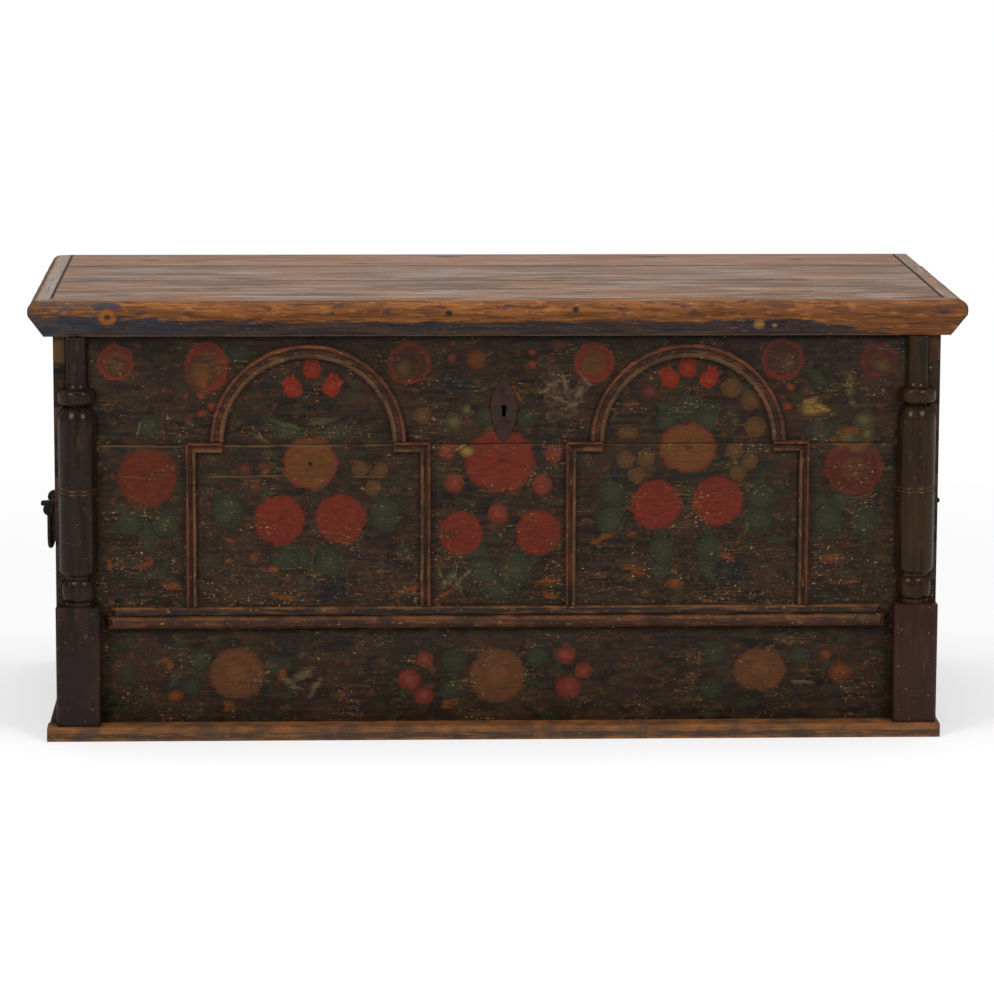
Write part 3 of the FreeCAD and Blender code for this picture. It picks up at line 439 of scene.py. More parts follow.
def painted_front(name, limits, wear_high, wear_low):
    """Distemper on pine, dark brown with folk flowers and fine lengthwise wear: a dull sheen
    in which flecks of bare wood and ochre break up every colour. Only the front is painted."""
    material, tree, spot = new_finish(name)
    flat = add(tree, "VectorMath", (spot, (1, 0, 1)), operation="MULTIPLY")
    jitter = add(tree, "TexNoise", {"Vector": flat, "Scale": 1 / 14, "Detail": 2.0})
    shake = add(tree, "VectorMath", (jitter.node.outputs["Color"], (0.5, 0.5, 0.5)),
                operation="SUBTRACT")
    shaken = add(tree, "VectorMath", (shake, (7, 0, 7), flat), operation="MULTIPLY_ADD")
    parts = add(tree, "SeparateXYZ", [flat]).node.outputs
    across, up = parts[0], parts[2]
    strokes = add(tree, "Mapping", {"Vector": flat, "Scale": (1 / 18, 1, 1 / 5)})
    brush = add(tree, "TexNoise", {"Vector": strokes, "Scale": 1.0, "Detail": 4.0})
    patches = marks(tree, flat, (110, 1, 60), 0.36, 0.62, 5.0, 4.0)
    ground = add(tree, "MixRGB", (patches, GROUND_DARK, GROUND_BROWN))
    ground = weather(tree, flat, ground, GROUND_GLAZES)[0]

    stroke = add(tree, "MapRange", (brush, 0.3, 0.7))
    tone = add(tree, "MixRGB", (stroke, THIN_PAINT, THICK_PAINT))
    ragged = add(tree, "MapRange", (brush, 0.3, 0.7, -0.25, 0.35), clamp=False)
    paint = lay_flowers(tree, ground, shaken, tone, ragged, limits)

    # Wear: dull rubbed patches, scratches and short flecks, in clusters that are thicker
    # low on the boards
    bunches = marks(tree, flat, (60, 1, 30), 0.51, 0.62, 33.0, 4.0)
    low = add(tree, "MapRange", (up, *WEAR_LEVELS, wear_high, wear_low))
    thickness = add(tree, "Math", (bunches, 0.75, low), operation="MULTIPLY_ADD")
    flecks = marks(tree, flat, (8, 1, 4.0), 0.60, 0.65, 52.0, 4.0)
    wear = ((marks(tree, flat, (30, 1, 9.0), 0.51, 0.62, 44.0, 6.0), 0.75, "#30241b"),
            (marks(tree, flat, (22, 1, 2.4), 0.56, 0.63, 41.0, 5.0), 0.75, "#523619"),
            (marks(tree, flat, (75, 1, 1.7), 0.60, 0.66, 47.0, 4.0), 0.8, "#5c452c"),
            (flecks, 0.85, SCRATCH_OCHRE),
            (marks(tree, flat, (5.5, 1, 3.6), 0.635, 0.675, 67.0, 3.0), 0.9, SCRATCH_BONE))
    for layer, strength, tint in wear:
        worn = add(tree, "Math", (layer, thickness), operation="MULTIPLY")
        paint = glaze(tree, paint, worn, strength, tint)

    # Joints and the long crack: dark lines, rubbed to bare wood along their edges, most to
    # the left
    wander = marks(tree, flat, (90, 1, 30), 0.3, 0.7, 73.0, 3.0)
    level_here = add(tree, "Math", (wander, LINE_WANDER, up), operation="MULTIPLY_ADD")
    gaps = marks(tree, flat, (42, 1, 5), 0.44, 0.55, 71.0, 4.0)
    to_left = add(tree, "MapRange", (across, *RUBBED_ACROSS, 0.25))
    gaps = add(tree, "Math", (gaps, to_left), operation="MULTIPLY")
    for level, reach, strength, depth in FRONT_LINES:
        middle = level + LINE_WANDER / 2
        dark_line = near_level(tree, level_here, middle, reach / 2)
        paint = glaze(tree, paint, dark_line, depth, "#0f0b08")
        line = near_level(tree, level_here, middle - reach / 2, reach)
        line = add(tree, "Math", (line, gaps), operation="MULTIPLY")
        paint = glaze(tree, paint, line, strength, BARE_EDGE)

    # Painted shade under the lid's overhang: the paint darkens towards the top of the front
    painted_lid_shade = add(tree, "MapRange", (up, *LID_SHADE_LEVELS, 0.0, 0.5))
    paint = add(tree, "MixRGB", (painted_lid_shade, paint, "#120c08"))

    # A chip missing under the top left pin, not cut into the board: near-black painted shade stands
    # for its hollow
    painted_chip_shade = near_level(tree, up, BARE_PIN_LEVEL - 4.0, 5.5)
    at_corner = add(tree, "Math", (across, CORNER_ACROSS), operation="LESS_THAN")
    painted_chip_shade = add(tree, "Math", (painted_chip_shade, at_corner), operation="MULTIPLY")
    paint = add(tree, "MixRGB", (painted_chip_shade, paint, "#060404"))

    # Faces that aren't painted: end grain and edges, browned with age, and the bare inside
    pine = old_pine(tree, spot, 0, "#8a6238", "#5c3d22")[0]
    front = facing(tree, 1, -0.45, -0.7)
    inner = facing(tree, 1, 0.5, 0.8)
    aged = add(tree, "MixRGB", (inner, "#3a2417", pine))
    colour = add(tree, "MixRGB", (front, aged, paint))
    relief = add(tree, "Math", (flecks, -0.5, brush), operation="MULTIPLY_ADD")
    rough = add(tree, "MapRange", (brush, 0.3, 0.7, 0.5, 0.75))
    surface(tree, colour, rough, relief, 0.35, Specular_IOR_Level=0.12)
    return material


# Colours of the applied work, from one edge to the other
ARCH_STEPS = [(0.0, "#382118"), (0.12, "#55301f"), (0.30, "#542a20"), (0.42, "#3a261c"),
              (0.62, "#2c2119"), (0.72, "#5e4024"), (0.86, "#4a3321"), (1.0, "#352418")]
RAIL_STEPS = [(0.0, "#65401f"), (0.09, "#56341c"), (0.14, "#371e15"), (0.42, "#3e2217"),
              (0.50, "#66401f"), (0.57, "#4c2f1a"), (0.62, "#1d1611"), (0.88, "#221912"),
              (0.94, "#6b4422"), (1.0, "#5a391d")]
BASE_STEPS = [(0.0, "#7a4d26"), (0.12, "#664222"), (0.18, "#423227"), (0.55, "#4b3626"),
              (0.63, "#7a502c"), (0.75, "#6e4423"), (1.0, "#744725")]


def ramp_of(tree, share, steps):
    """A colour that changes in steps along a share from 0 to 1."""
    colour = add(tree, "ValToRGB", [share])
    ramp = colour.node.color_ramp
    while len(ramp.elements) < len(steps):
        ramp.elements.new(1.0)
    for element, (position, text) in zip(ramp.elements, steps):
        element.position = position
        element.color = linear(text)
    return colour


def worn_paint(name, along, measure, steps, rubbed_tint, grime_tint):
    """Old red-brown and dark paint on pine, rubbed to orange wood on the high edges, with grime
    in the hollows. measure gives the way across the piece, from 0 to 1."""
    material, tree, spot = new_finish(name)
    inward = measure(tree, spot)
    shift = add(tree, "TexNoise", {"Vector": spot, "Scale": 1 / 22, "Detail": 3.0})
    inward = add(tree, "Math", (shift, 0.12, inward), operation="MULTIPLY_ADD")
    inward = add(tree, "Math", (inward, 0.06), operation="SUBTRACT")
    profile = ramp_of(tree, inward, steps)
    paint, (rubbed, _, chips) = weather(tree, spot, profile, (
        (lengthwise(along, 46.0, 5.0), 0.48, 0.64, 4.0, 5.0, 0.55, rubbed_tint),
        ((26, 26, 26), 0.42, 0.62, 8.0, 5.0, 0.7, grime_tint),
        (lengthwise(along, 8.0, 5.0), 0.64, 0.7, 15.0, 3.0, 0.8, "#7d5c36")))
    relief = add(tree, "Math", (chips, -1.0, rubbed), operation="MULTIPLY_ADD")
    rough = add(tree, "MapRange", (rubbed, 0.0, 1.0, 0.45, 0.7))
    surface(tree, paint, rough, relief, 0.3, Specular_IOR_Level=0.15)
    return material


def front_place(tree, spot):
    """How far a place is from the middle of its arch, and how high it is."""
    parts = add(tree, "SeparateXYZ", [spot]).node.outputs
    away = from_middle(tree, parts[0])
    return add(tree, "Math", (away, ARCH_CENTRE), operation="SUBTRACT"), parts[2]


def across_arch(tree, spot):
    from_arch, up = front_place(tree, spot)
    over_spring = add(tree, "Math", (up, ARCH_SPRING), operation="SUBTRACT")
    point = add(tree, "CombineXYZ", (from_arch, over_spring))
    radius = add(tree, "VectorMath", [point], operation="LENGTH").node.outputs["Value"]
    return add(tree, "MapRange", (radius, ARCH_RADIUS, ARCH_RADIUS - ARCH_WIDTH))


def across_upright(tree, spot):
    away = add(tree, "Math", [front_place(tree, spot)[0]], operation="ABSOLUTE")
    return add(tree, "MapRange", (away, FRAME_HALF, FRAME_HALF - FRAME_MOULDING))


def across_impost(tree, spot):
    up = front_place(tree, spot)[1]
    return add(tree, "MapRange", (up, FRAME_TOP, FRAME_TOP - FRAME_MOULDING))


def up_between(low, high):
    """A measure of height, from 0 at one level to 1 at another."""
    def measure(tree, spot):
        up = add(tree, "SeparateXYZ", [spot]).node.outputs[2]
        return add(tree, "MapRange", (up, low, high))
    return measure


def stained_pine(name, along, light, dark, rub_tint, coat):
    """Pine stained nearly black-brown and waxed: the grain shows as soft darker bands, the stain
    has worn thin in strokes, and it has a low gloss."""
    material, tree, spot = new_finish(name)
    colour, fibres = old_pine(tree, spot, along, light, dark)
    colour, (rubbed, nicks) = weather(tree, spot, colour, (
        (lengthwise(along, 90.0, 16.0), 0.54, 0.72, 17.0, 5.0, 0.5, rub_tint),
        ((6, 6, 6), 0.68, 0.73, 29.0, 3.0, 0.7, "#7d5a36")))
    relief = add(tree, "Math", (nicks, -1.0, fibres), operation="MULTIPLY_ADD")
    rough = add(tree, "MapRange", (rubbed, 0.0, 1.0, 0.35, 0.6))
    surface(tree, colour, rough, relief, 0.25, Specular_IOR_Level=0.14, Coat_Weight=coat,
            Coat_Roughness=0.2)
    return material


STAIN_DEPTH = 2.0


def side_boards_finish(name):
    """Stained outside, bare inside, end grain on the dovetail pins that show at the corners."""
    material, tree, spot = new_finish(name)
    stained, fibres = old_pine(tree, spot, 1, "#43291b", "#251812")
    stained = weather(tree, spot, stained, [
        ((14, 70, 14), 0.55, 0.72, 12.0, 5.0, 0.5, "#6a452a")])[0]
    bare = old_pine(tree, spot, 1, "#8a6238", "#5c3d22")[0]
    rings = marks(tree, spot, (3.0, 3.0, 40), 0.4, 0.6, 6.0, 3.0)
    end_grain = add(tree, "MixRGB", (rings, "#4a2b1a", "#2c1a12"))
    parts = add(tree, "SeparateXYZ", [spot]).node.outputs
    away = from_middle(tree, parts[0])
    outside = add(tree, "Math", (away, HALF_LENGTH - STAIN_DEPTH), operation="GREATER_THAN")
    front = facing(tree, 1, -0.45, -0.7)
    back = facing(tree, 1, 0.45, 0.7)
    ends = add(tree, "Math", (front, back), operation="ADD")
    # One pin at the top of the left corner has lost its paint
    on_left = add(tree, "Math", (parts[0], 0.0), operation="LESS_THAN")
    high = add(tree, "Math", (parts[2], BARE_PIN_LEVEL), operation="GREATER_THAN")
    bare_pin = add(tree, "Math", (on_left, high), operation="MULTIPLY")
    end_grain = add(tree, "MixRGB", (bare_pin, end_grain, "#4a3218"))
    colour = add(tree, "MixRGB", (outside, bare, stained))
    colour = add(tree, "MixRGB", (ends, colour, end_grain))
    surface(tree, colour, 0.6, fibres, 0.25, Specular_IOR_Level=0.2)
    return material


def bare_pine(name, along, light, dark):
    """Pine never painted, gone brown and dusty: matt, with clear fibres and darker knots."""
    material, tree, spot = new_finish(name)
    colour, fibres = old_pine(tree, spot, along, light, dark)
    colour = weather(tree, spot, colour, [
        (lengthwise(along, 300.0, 60.0), 0.45, 0.75, 19.0, 4.0, 0.5, "#4a3524")])[0]
    knots = add(tree, "TexVoronoi", {"Vector": spot, "Scale": 1 / 210})
    ring = add(tree, "MapRange", (knots, 0.055, 0.035))
    colour = add(tree, "MixRGB", (ring, colour, "#3d2616"))
    # End grain has drunk the dirt and is darker, with fine rings
    rings = marks(tree, spot, (60, 3.0, 4.0), 0.4, 0.6, 27.0, 3.0)
    end_grain = add(tree, "MixRGB", (rings, "#523820", "#3a2717"))
    to_right, to_left = facing(tree, 0, 0.45, 0.7), facing(tree, 0, -0.45, -0.7)
    ends = add(tree, "Math", (to_right, to_left), operation="ADD")
    colour = add(tree, "MixRGB", (ends, colour, end_grain))
    surface(tree, colour, 0.78, fibres, 0.3, Specular_IOR_Level=0.3)
    return material


def lid_wood(tree, spot, along):
    """Bare pine worn grey by use, with warmer streaks and dark cracks along the grain. Gives its
    colour and its relief."""
    wash = marks(tree, spot, lengthwise(along, 240, 36), 0.42, 0.58, 2.0, 5.0)
    colour = add(tree, "MixRGB", (wash, "#664d3b", "#826a5b"))
    colour, (_, _, fibres, cracks, _) = weather(tree, spot, colour, (
        (lengthwise(along, 170, 24), 0.50, 0.60, 14.0, 5.0, 0.8, "#8f6039"),
        (lengthwise(along, 150, 22), 0.53, 0.62, 23.0, 5.0, 0.75, "#94877e"),
        (lengthwise(along, 80, 4.0), 0.42, 0.66, 31.0, 5.0, 0.45, "#503a2a"),
        (lengthwise(along, 70, 5.0), 0.62, 0.66, 37.0, 4.0, 0.8, "#33221a"),
        ((12, 12, 12), 0.62, 0.70, 43.0, 4.0, 0.35, "#a08f80")))
    return colour, add(tree, "Math", (cracks, -2.0, fibres), operation="MULTIPLY_ADD")


# Knots in the lid's top: middle across and back, half length, half width
LID_KNOTS = [(464, 194, 14, 9), (436, -65, 20, 10), (437, -203, 16, 7), (250, 232, 30, 9),
             (-60, 236, 26, 8), (-360, -40, 40, 8), (120, -212, 22, 6), (-190, 150, 30, 6),
             (-500, 196, 16, 8), (-430, 188, 20, 6)]


def lid_boards_finish(name):
    """Bare pine, worn grey and dry on top by years of use, cleaner underneath."""
    material, tree, spot = new_finish(name)
    colour, relief = lid_wood(tree, spot, 0)
    flat = add(tree, "VectorMath", (spot, (1, 1, 0)), operation="MULTIPLY")
    brush = add(tree, "TexNoise", {"Vector": flat, "Scale": 1 / 9, "Detail": 3.0})
    tone = add(tree, "MixRGB", (brush, THIN_PAINT, THICK_PAINT))
    parts = add(tree, "SeparateXYZ", [spot]).node.outputs

    # The back board is the warmest, and their joints have opened unevenly
    for level, share, tint in ((LID_BACK_JOINT, 0.4, "#8c5c36"),
                               (LID_FRONT_JOINT, 0.12, "#8b7a70")):
        behind = add(tree, "Math", (parts[1], level), operation="GREATER_THAN")
        colour = glaze(tree, colour, behind, share, tint)
    open_here = marks(tree, flat, (70, 12, 1), 0.40, 0.56, 91.0, 4.0)
    open_here = add(tree, "MapRange", (open_here, 0.0, 1.0, 0.3, 0.95))
    for level, reach in ((LID_BACK_JOINT, 9.0), (LID_FRONT_JOINT, 6.0)):
        line = near_level(tree, parts[1], level, reach)
        colour = glaze(tree, colour, line, open_here, DARK_GAP)
    line = near_level(tree, from_middle(tree, parts[0]), LID_HALF, 3.0)
    colour = add(tree, "MixRGB", (line, colour, DARK_GAP))
    colour = lay_rounds(tree, colour, flat, tone, LID_KNOTS, "knot", up_axis=1)
    under = old_pine(tree, spot, 0, "#93683c", "#6a4727")[0]
    below = facing(tree, 2, -0.4, -0.7)
    colour = add(tree, "MixRGB", (below, colour, under))
    surface(tree, colour, 0.62, relief, 0.4, Specular_IOR_Level=0.4)
    return material


# Marks on the front of the lid's edge: middle across and up, half width, half height
EDGE_ROUNDS = {"lid blue": [(-541, 611, 21, 5)], "plug": [(-540, 596, 14, 13)],
               # The plug holes' dark is painted shade; no holes are cut into the edge
               "plug hole shade": [(105, 606, 5, 5), (-70, 601, 6, 5)],
               "bruise": [(382, 613, 26, 9)], "chip": [(360, 584, 8, 8), (382, 582, 4, 3)]}

# How high the paint on the lid's edge comes, and where across it changes
RAGGED_HEIGHT = 22.0
PAINT_EDGE = 589.0 + RAGGED_HEIGHT / 2
PAINT_CLIMBS = (-330.0, -560.0)
PAINT_IS_LOST = (430.0, 570.0)
PAINT_TURNS_BLUE = (-200.0, -480.0)
WOOD_REDDENS = (150.0, 520.0)
MOTTLED_CORNER = (-520.0, -600.0)


def lid_edge_finish(name, along):
    """The lid's moulded edge: grey on its flat, rubbed to orange pine over the nose, and old
    blue-black paint on the bevel below with a ragged upper edge."""
    material, tree, spot = new_finish(name)
    parts = add(tree, "SeparateXYZ", [spot]).node.outputs
    across, up = parts[0], parts[2]
    top, relief = lid_wood(tree, spot, along)
    if along == 1:
        # The ends are greyer, the left one palest, with a dark gap beside the boards
        on_left = add(tree, "MapRange", (across, 0.0, -100.0, 0.35, 0.75))
        top = add(tree, "MixRGB", (on_left, top, "#968a80"))
        line = near_level(tree, from_middle(tree, across), LID_HALF, 3.4)
        top = add(tree, "MixRGB", (line, top, DARK_GAP))
    tone = marks(tree, spot, lengthwise(along, 120, 10), 0.38, 0.66, 51.0, 5.0)
    bare = add(tree, "MixRGB", (tone, "#87532a", "#633b1e"))
    redder = add(tree, "MapRange", (across, *WOOD_REDDENS, 0.0, 0.6))
    bare = add(tree, "MixRGB", (redder, bare, "#6f4328"))
    bare, (streaks, _, _) = weather(tree, spot, bare, (
        (lengthwise(along, 36, 3.2), 0.50, 0.62, 57.0, 6.0, 0.65, "#432917"),
        (lengthwise(along, 20, 6), 0.56, 0.68, 61.0, 5.0, 0.55, "#a06b35"),
        (lengthwise(along, 24, 9), 0.61, 0.66, 64.0, 4.0, 0.7, "#3b2a2c")))

    # The paint's ragged edge, higher at the left end and gone at the right end
    scale = tuple(1 / length for length in lengthwise(along, 38, 9))
    placed = add(tree, "Mapping", {"Vector": spot, "Scale": scale})
    ragged = add(tree, "TexNoise", {"Vector": placed, "Scale": 1.0, "Detail": 5.0})
    level = add(tree, "Math", (ragged, RAGGED_HEIGHT, up), operation="MULTIPLY_ADD")
    climb = add(tree, "MapRange", (across, *PAINT_CLIMBS, 0.0, 8.0))
    level = add(tree, "Math", (level, climb), operation="SUBTRACT")
    lost = add(tree, "MapRange", (across, *PAINT_IS_LOST, 0.0, 26.0))
    level = add(tree, "Math", (level, lost), operation="ADD")
    painted = add(tree, "MapRange", (level, PAINT_EDGE + 1.0, PAINT_EDGE - 1.0))
    haze = marks(tree, spot, lengthwise(along, 70, 8), 0.42, 0.72, 71.0, 5.0)
    paint = add(tree, "MixRGB", (haze, "#2e2726", "#46352b"))
    blue = marks(tree, spot, lengthwise(along, 90, 14), 0.42, 0.62, 75.0, 3.0)
    bluer = add(tree, "MapRange", (across, *PAINT_TURNS_BLUE, 0.12, 0.8))
    paint = glaze(tree, paint, blue, bluer, "#2b323f")
    paint = weather(tree, spot, paint, [
        (lengthwise(along, 9, 4), 0.63, 0.68, 79.0, 3.0, 0.7, "#75522f")])[0]
    rim = add(tree, "MapRange", (up, EDGE_BOTTOM + 2.6, EDGE_BOTTOM + 1.0))
    paint = glaze(tree, paint, rim, 0.7, "#6b4a31")
    side = add(tree, "MixRGB", (painted, bare, paint))

    # Mottled old paint round the front left corner
    corner = add(tree, "MapRange", (across, *MOTTLED_CORNER))
    mottle = marks(tree, spot, (17, 17, 13), 0.46, 0.54, 83.0, 4.0)
    mottle = add(tree, "Math", (corner, mottle), operation="MULTIPLY")
    side = glaze(tree, side, mottle, 0.8, "#453a38")

    if along == 0:
        # A round plug of bare wood, the dark patch above it, and plug holes whose dark is painted
        # shade
        flat = add(tree, "VectorMath", (spot, (1, 0, 1)), operation="MULTIPLY")
        tone = add(tree, "MixRGB", (ragged, THIN_PAINT, THICK_PAINT))
        for kind, places in EDGE_ROUNDS.items():
            side = lay_rounds(tree, side, flat, tone, places, kind)

    grey = add(tree, "MapRange", (up, LID_TOP - 1.6, LID_TOP - 0.5))
    colour = add(tree, "MixRGB", (grey, side, top))
    relief = add(tree, "Math", (streaks, -0.8, relief), operation="MULTIPLY_ADD")
    rough = add(tree, "MapRange", (painted, 0.0, 1.0, 0.58, 0.42))
    surface(tree, colour, rough, relief, 0.5, Specular_IOR_Level=0.12)
    return material


def turned_wood(name, light, dark):
    """Turned pine under black-brown varnish: glossy, with faint rings left by the gouge and
    small pale chips on the fullest parts."""
    material, tree, spot = new_finish(name)
    up = add(tree, "SeparateXYZ", [spot]).node.outputs[2]
    bands = marks(tree, spot, (9, 9, 120), 0.35, 0.65, 3.0, 5.0)
    colour = add(tree, "MixRGB", (bands, dark, light))
    colour, (worn, chips) = weather(tree, spot, colour, (
        ((12, 12, 30), 0.6, 0.72, 9.0, 5.0, 0.5, "#43301f"),
        ((4, 4, 5), 0.70, 0.73, 13.0, 3.0, 0.6, "#6f5a44")))
    # Gouge marks about 2.5 mm apart
    ring_wave = add(tree, "Math", (up, 2.5), operation="MULTIPLY")
    rings = add(tree, "Math", [ring_wave], operation="SINE")
    for score in SCORES:
        line = near_level(tree, up, SHAFT_LEVEL + score, 1.8)
        colour = glaze(tree, colour, line, 0.5, "#573c20")
    relief = add(tree, "Math", (rings, 0.15, bands), operation="MULTIPLY_ADD")
    relief = add(tree, "Math", (chips, -1.0, relief), operation="MULTIPLY_ADD")
    rough = add(tree, "MapRange", (worn, 0.0, 1.0, 0.24, 0.45))
    surface(tree, colour, rough, relief, 0.2, Specular_IOR_Level=0.05, Coat_Weight=0.15,
            Coat_Roughness=0.09)
    return material


def forged_iron(name, dark, rust, metallic=0.75):
    """Wrought iron gone brown-black: hammered flats with a dull gleam, and powdery rust in
    patches that hardly shine."""
    material, tree, spot = new_finish(name)
    patches = marks(tree, spot, (16, 16, 16), 0.45, 0.62, 7.0, 5.0)
    pits = marks(tree, spot, (2.5, 2.5, 2.5), 0.5, 0.7, 17.0, 3.0)
    colour = add(tree, "MixRGB", (patches, dark, rust))
    hammer = add(tree, "TexVoronoi", {"Vector": spot, "Scale": 1 / 9}, feature="SMOOTH_F1")
    relief = add(tree, "Math", (pits, -0.35, hammer), operation="MULTIPLY_ADD")
    rough = add(tree, "MapRange", (patches, 0.0, 1.0, 0.42, 0.75))
    surface(tree, colour, rough, relief, 0.5, Metallic=metallic, Specular_IOR_Level=0.2)
    return material


def studio_floor():
    """A plain white floor that keeps a soft shadow near the chest and is pure white beyond."""
    material = bpy.data.materials.new("white_studio_floor")
    material.use_nodes = True
    tree = material.node_tree
    tree.nodes.clear()
    ray = add(tree, "LightPath").node.outputs
    seen = add(tree, "Math", (ray["Is Camera Ray"], ray["Is Glossy Ray"]), operation="MAXIMUM")
    seen = add(tree, "Math", (seen, ray["Is Transmission Ray"]), operation="MAXIMUM")
    place = add(tree, "TexCoord").node.outputs["Object"]
    away = add(tree, "VectorMath", [place], operation="LENGTH").node.outputs["Value"]
    far = add(tree, "MapRange", (away, SHADOW_REACH, 2 * SHADOW_REACH, 0.45))
    share = add(tree, "Math", (far, seen), operation="MULTIPLY")
    colour = add(tree, "MixRGB", (seen, "#c8c8c8", "#ffffff"))
    matt = add(tree, "BsdfDiffuse", [colour])
    white = add(tree, "Emission", ("#ffffff", 1.0))
    add(tree, "OutputMaterial", [add(tree, "MixShader", (share, matt, white))])
    return material


# Pieces


def take(*pieces):
    """Selects these pieces and no others, the first one active."""
    bpy.ops.object.select_all(action="DESELECT")
    for piece in pieces:
        piece.select_set(True)
    bpy.context.view_layer.objects.active = pieces[0]


def apply_all(piece):
    """Makes all modifiers of a piece part of its mesh."""
    take(piece)
    for modifier in list(piece.modifiers):
        bpy.ops.object.modifier_apply(modifier=modifier.name)


def place_in_mesh(piece):
    """Moves a piece's place into its mesh, so that the piece itself is at the origin."""
    take(piece)
    bpy.ops.object.transform_apply(location=True, rotation=True, scale=True)


def smooth(piece, angle=35):
    """Shades a piece smooth, save at edges sharper than an angle."""
    take(piece)
    bpy.ops.object.shade_smooth_by_angle(angle=math.radians(angle))


def coat(piece, material):
    """Makes one material the only one of a piece."""
    piece.data.materials.clear()
    piece.data.materials.append(material)


def finish_piece(piece, body, material, nodes=()):
    """Puts a material on a piece, lets it ride on a body and stand for its CAD nodes."""
    coat(piece, material)
    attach(piece, body)
    if nodes:
        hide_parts(*nodes)


def solid_copy(node, name):
    """A copy of a CAD piece with its triangles joined into whole faces."""
    piece = bpy.data.objects.new(name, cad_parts[node].data.copy())
    bpy.context.collection.objects.link(piece)
    take(piece)
    bpy.ops.mesh.customdata_custom_splitnormals_clear()
    bpy.ops.object.mode_set(mode="EDIT")
    bpy.ops.mesh.select_all(action="SELECT")
    bpy.ops.mesh.remove_doubles(threshold=0.02 * MM)
    bpy.ops.mesh.dissolve_limited(angle_limit=math.radians(0.5))
    bpy.ops.object.mode_set(mode="OBJECT")
    return piece


def cut_across(piece, axis, pitch_mm):
    """Cuts a long piece into short stretches, so that its edges can wear unevenly."""
    take(piece)
    places = [vertex.co[axis] for vertex in piece.data.vertices]
    low, high = min(places), max(places)
    count = int((high - low) / (pitch_mm * MM))
    normal = [0.0, 0.0, 0.0]
    normal[axis] = 1.0
    bpy.ops.object.mode_set(mode="EDIT")
    for index in range(1, count):
        point = [0.0, 0.0, 0.0]
        point[axis] = low + (high - low) * index / count
        bpy.ops.mesh.select_all(action="SELECT")
        bpy.ops.mesh.bisect(plane_co=point, plane_no=normal, use_fill=False)
    bpy.ops.object.mode_set(mode="OBJECT")


def ease_edges(piece, width_mm):
    """Rounds every sharp edge by a small width."""
    bevel = piece.modifiers.new("eased", "BEVEL")
    bevel.width = width_mm * MM
    bevel.segments = 2
    bevel.limit_method = "ANGLE"
    bevel.angle_limit = math.radians(28)
    bevel.use_clamp_overlap = True
    bevel.harden_normals = False
    apply_all(piece)


def wear_down(piece, depth_mm, size_mm, free):
    """Sinks the surface unevenly, never outward, where free says that nothing touches it."""
    group = piece.vertex_groups.new(name="worn")
    for vertex in piece.data.vertices:
        if free(vertex.co / MM):
            group.add([vertex.index], 1.0, "REPLACE")
    cloud = bpy.data.textures.new(piece.name + "_wear", "CLOUDS")
    cloud.noise_scale = size_mm * MM
    cloud.noise_depth = 3
    sink = piece.modifiers.new("worn", "DISPLACE")
    sink.texture = cloud
    sink.texture_coords = "LOCAL"
    sink.direction = "NORMAL"
    sink.mid_level = 0.0
    sink.strength = -depth_mm * MM
    sink.vertex_group = "worn"
    apply_all(piece)


def worn_pieces(nodes, look, body, material, edge, cut=None, wear=None, free=None):
    """CAD pieces with eased edges and, where asked, cut across and worn down. Each is named for
    its look and its node."""
    for node in nodes:
        piece = solid_copy(node, look + node)
        if cut:
            cut_across(piece, *cut)
        ease_edges(piece, edge)
        if wear:
            wear_down(piece, *wear, free)
        smooth(piece)
        finish_piece(piece, body, material, [node])


# How far from its neighbours a surface has to be before it may wear
SEAT = 0.6
LID_SEAT = 1.0


def off_wall(point):
    """Not against the front wall."""
    return point.y < FRONT_FACE - SEAT


def off_floor(point):
    """Not against the ground or the front wall."""
    return point.z > SEAT and point.y < FRONT_FACE - SEAT


def off_lid(point):
    """Not against the lid's boards."""
    return abs(point.x) > LID_HALF + LID_SEAT or point.y < LID_FRONT - LID_SEAT


def start_disc(name, sides, radius_mm, place=(0, 0, 0), turn=(0, 0, 0)):
    """A flat disc to draw a piece from, left in edit mode with all of it selected."""
    bpy.ops.object.select_all(action="DESELECT")
    bpy.ops.mesh.primitive_circle_add(vertices=sides, radius=radius_mm * MM, fill_type="NGON",
                                      location=place, rotation=turn)
    piece = bpy.context.object
    piece.name = name
    place_in_mesh(piece)
    bpy.ops.object.mode_set(mode="EDIT")
    bpy.ops.mesh.select_all(action="SELECT")
    return piece


def weld():
    """Joins the points that lie on each other in the piece being drawn."""
    bpy.ops.mesh.select_all(action="SELECT")
    bpy.ops.mesh.remove_doubles(threshold=0.005 * MM)


def close_piece():
    """Turns all faces of the piece being drawn outward and ends the drawing."""
    bpy.ops.mesh.select_all(action="SELECT")
    bpy.ops.mesh.normals_make_consistent(inside=False)
    bpy.ops.object.mode_set(mode="OBJECT")


# Turned columns, as the CAD's outline with its curves in full

COLUMN_INSET = 32.0
COLUMN_FOOT = corners("left_column")[0].z
COLUMN_TOP = corners("left_column")[1].z
PLINTH_RADIUS = 21.5
PLINTH_HEIGHT = 6.0
BEAD_RADIUS = 25.0
BEAD_ROOT = 20.0
BEAD_HEIGHT = 32.0
WAIST_RADIUS = 21.0
WAIST_HEIGHT = 5.0
SHAFT_RADIUS = 27.5
SHAFT_FOOT = 9.0
SHAFT_HEIGHT = 205.0
SHOULDER_HEIGHT = 24.0
GROOVE_RADIUS = 15.0
GROOVE_HEIGHT = 2.0
RING_RADIUS = 27.0
RING_HEIGHT = 22.6
RING_ROUND = 7.0
FLARE_HEIGHT = 10.4
NECK_RADIUS = 16.0
SCORES = (108.0, 113.0)
SCORE_HALF = 1.6
SCORE_DEPTH = 1.2
SCORE_EASE = 1.5
SHAFT_LEVEL = COLUMN_FOOT + PLINTH_HEIGHT + BEAD_HEIGHT + WAIST_HEIGHT + SHAFT_FOOT


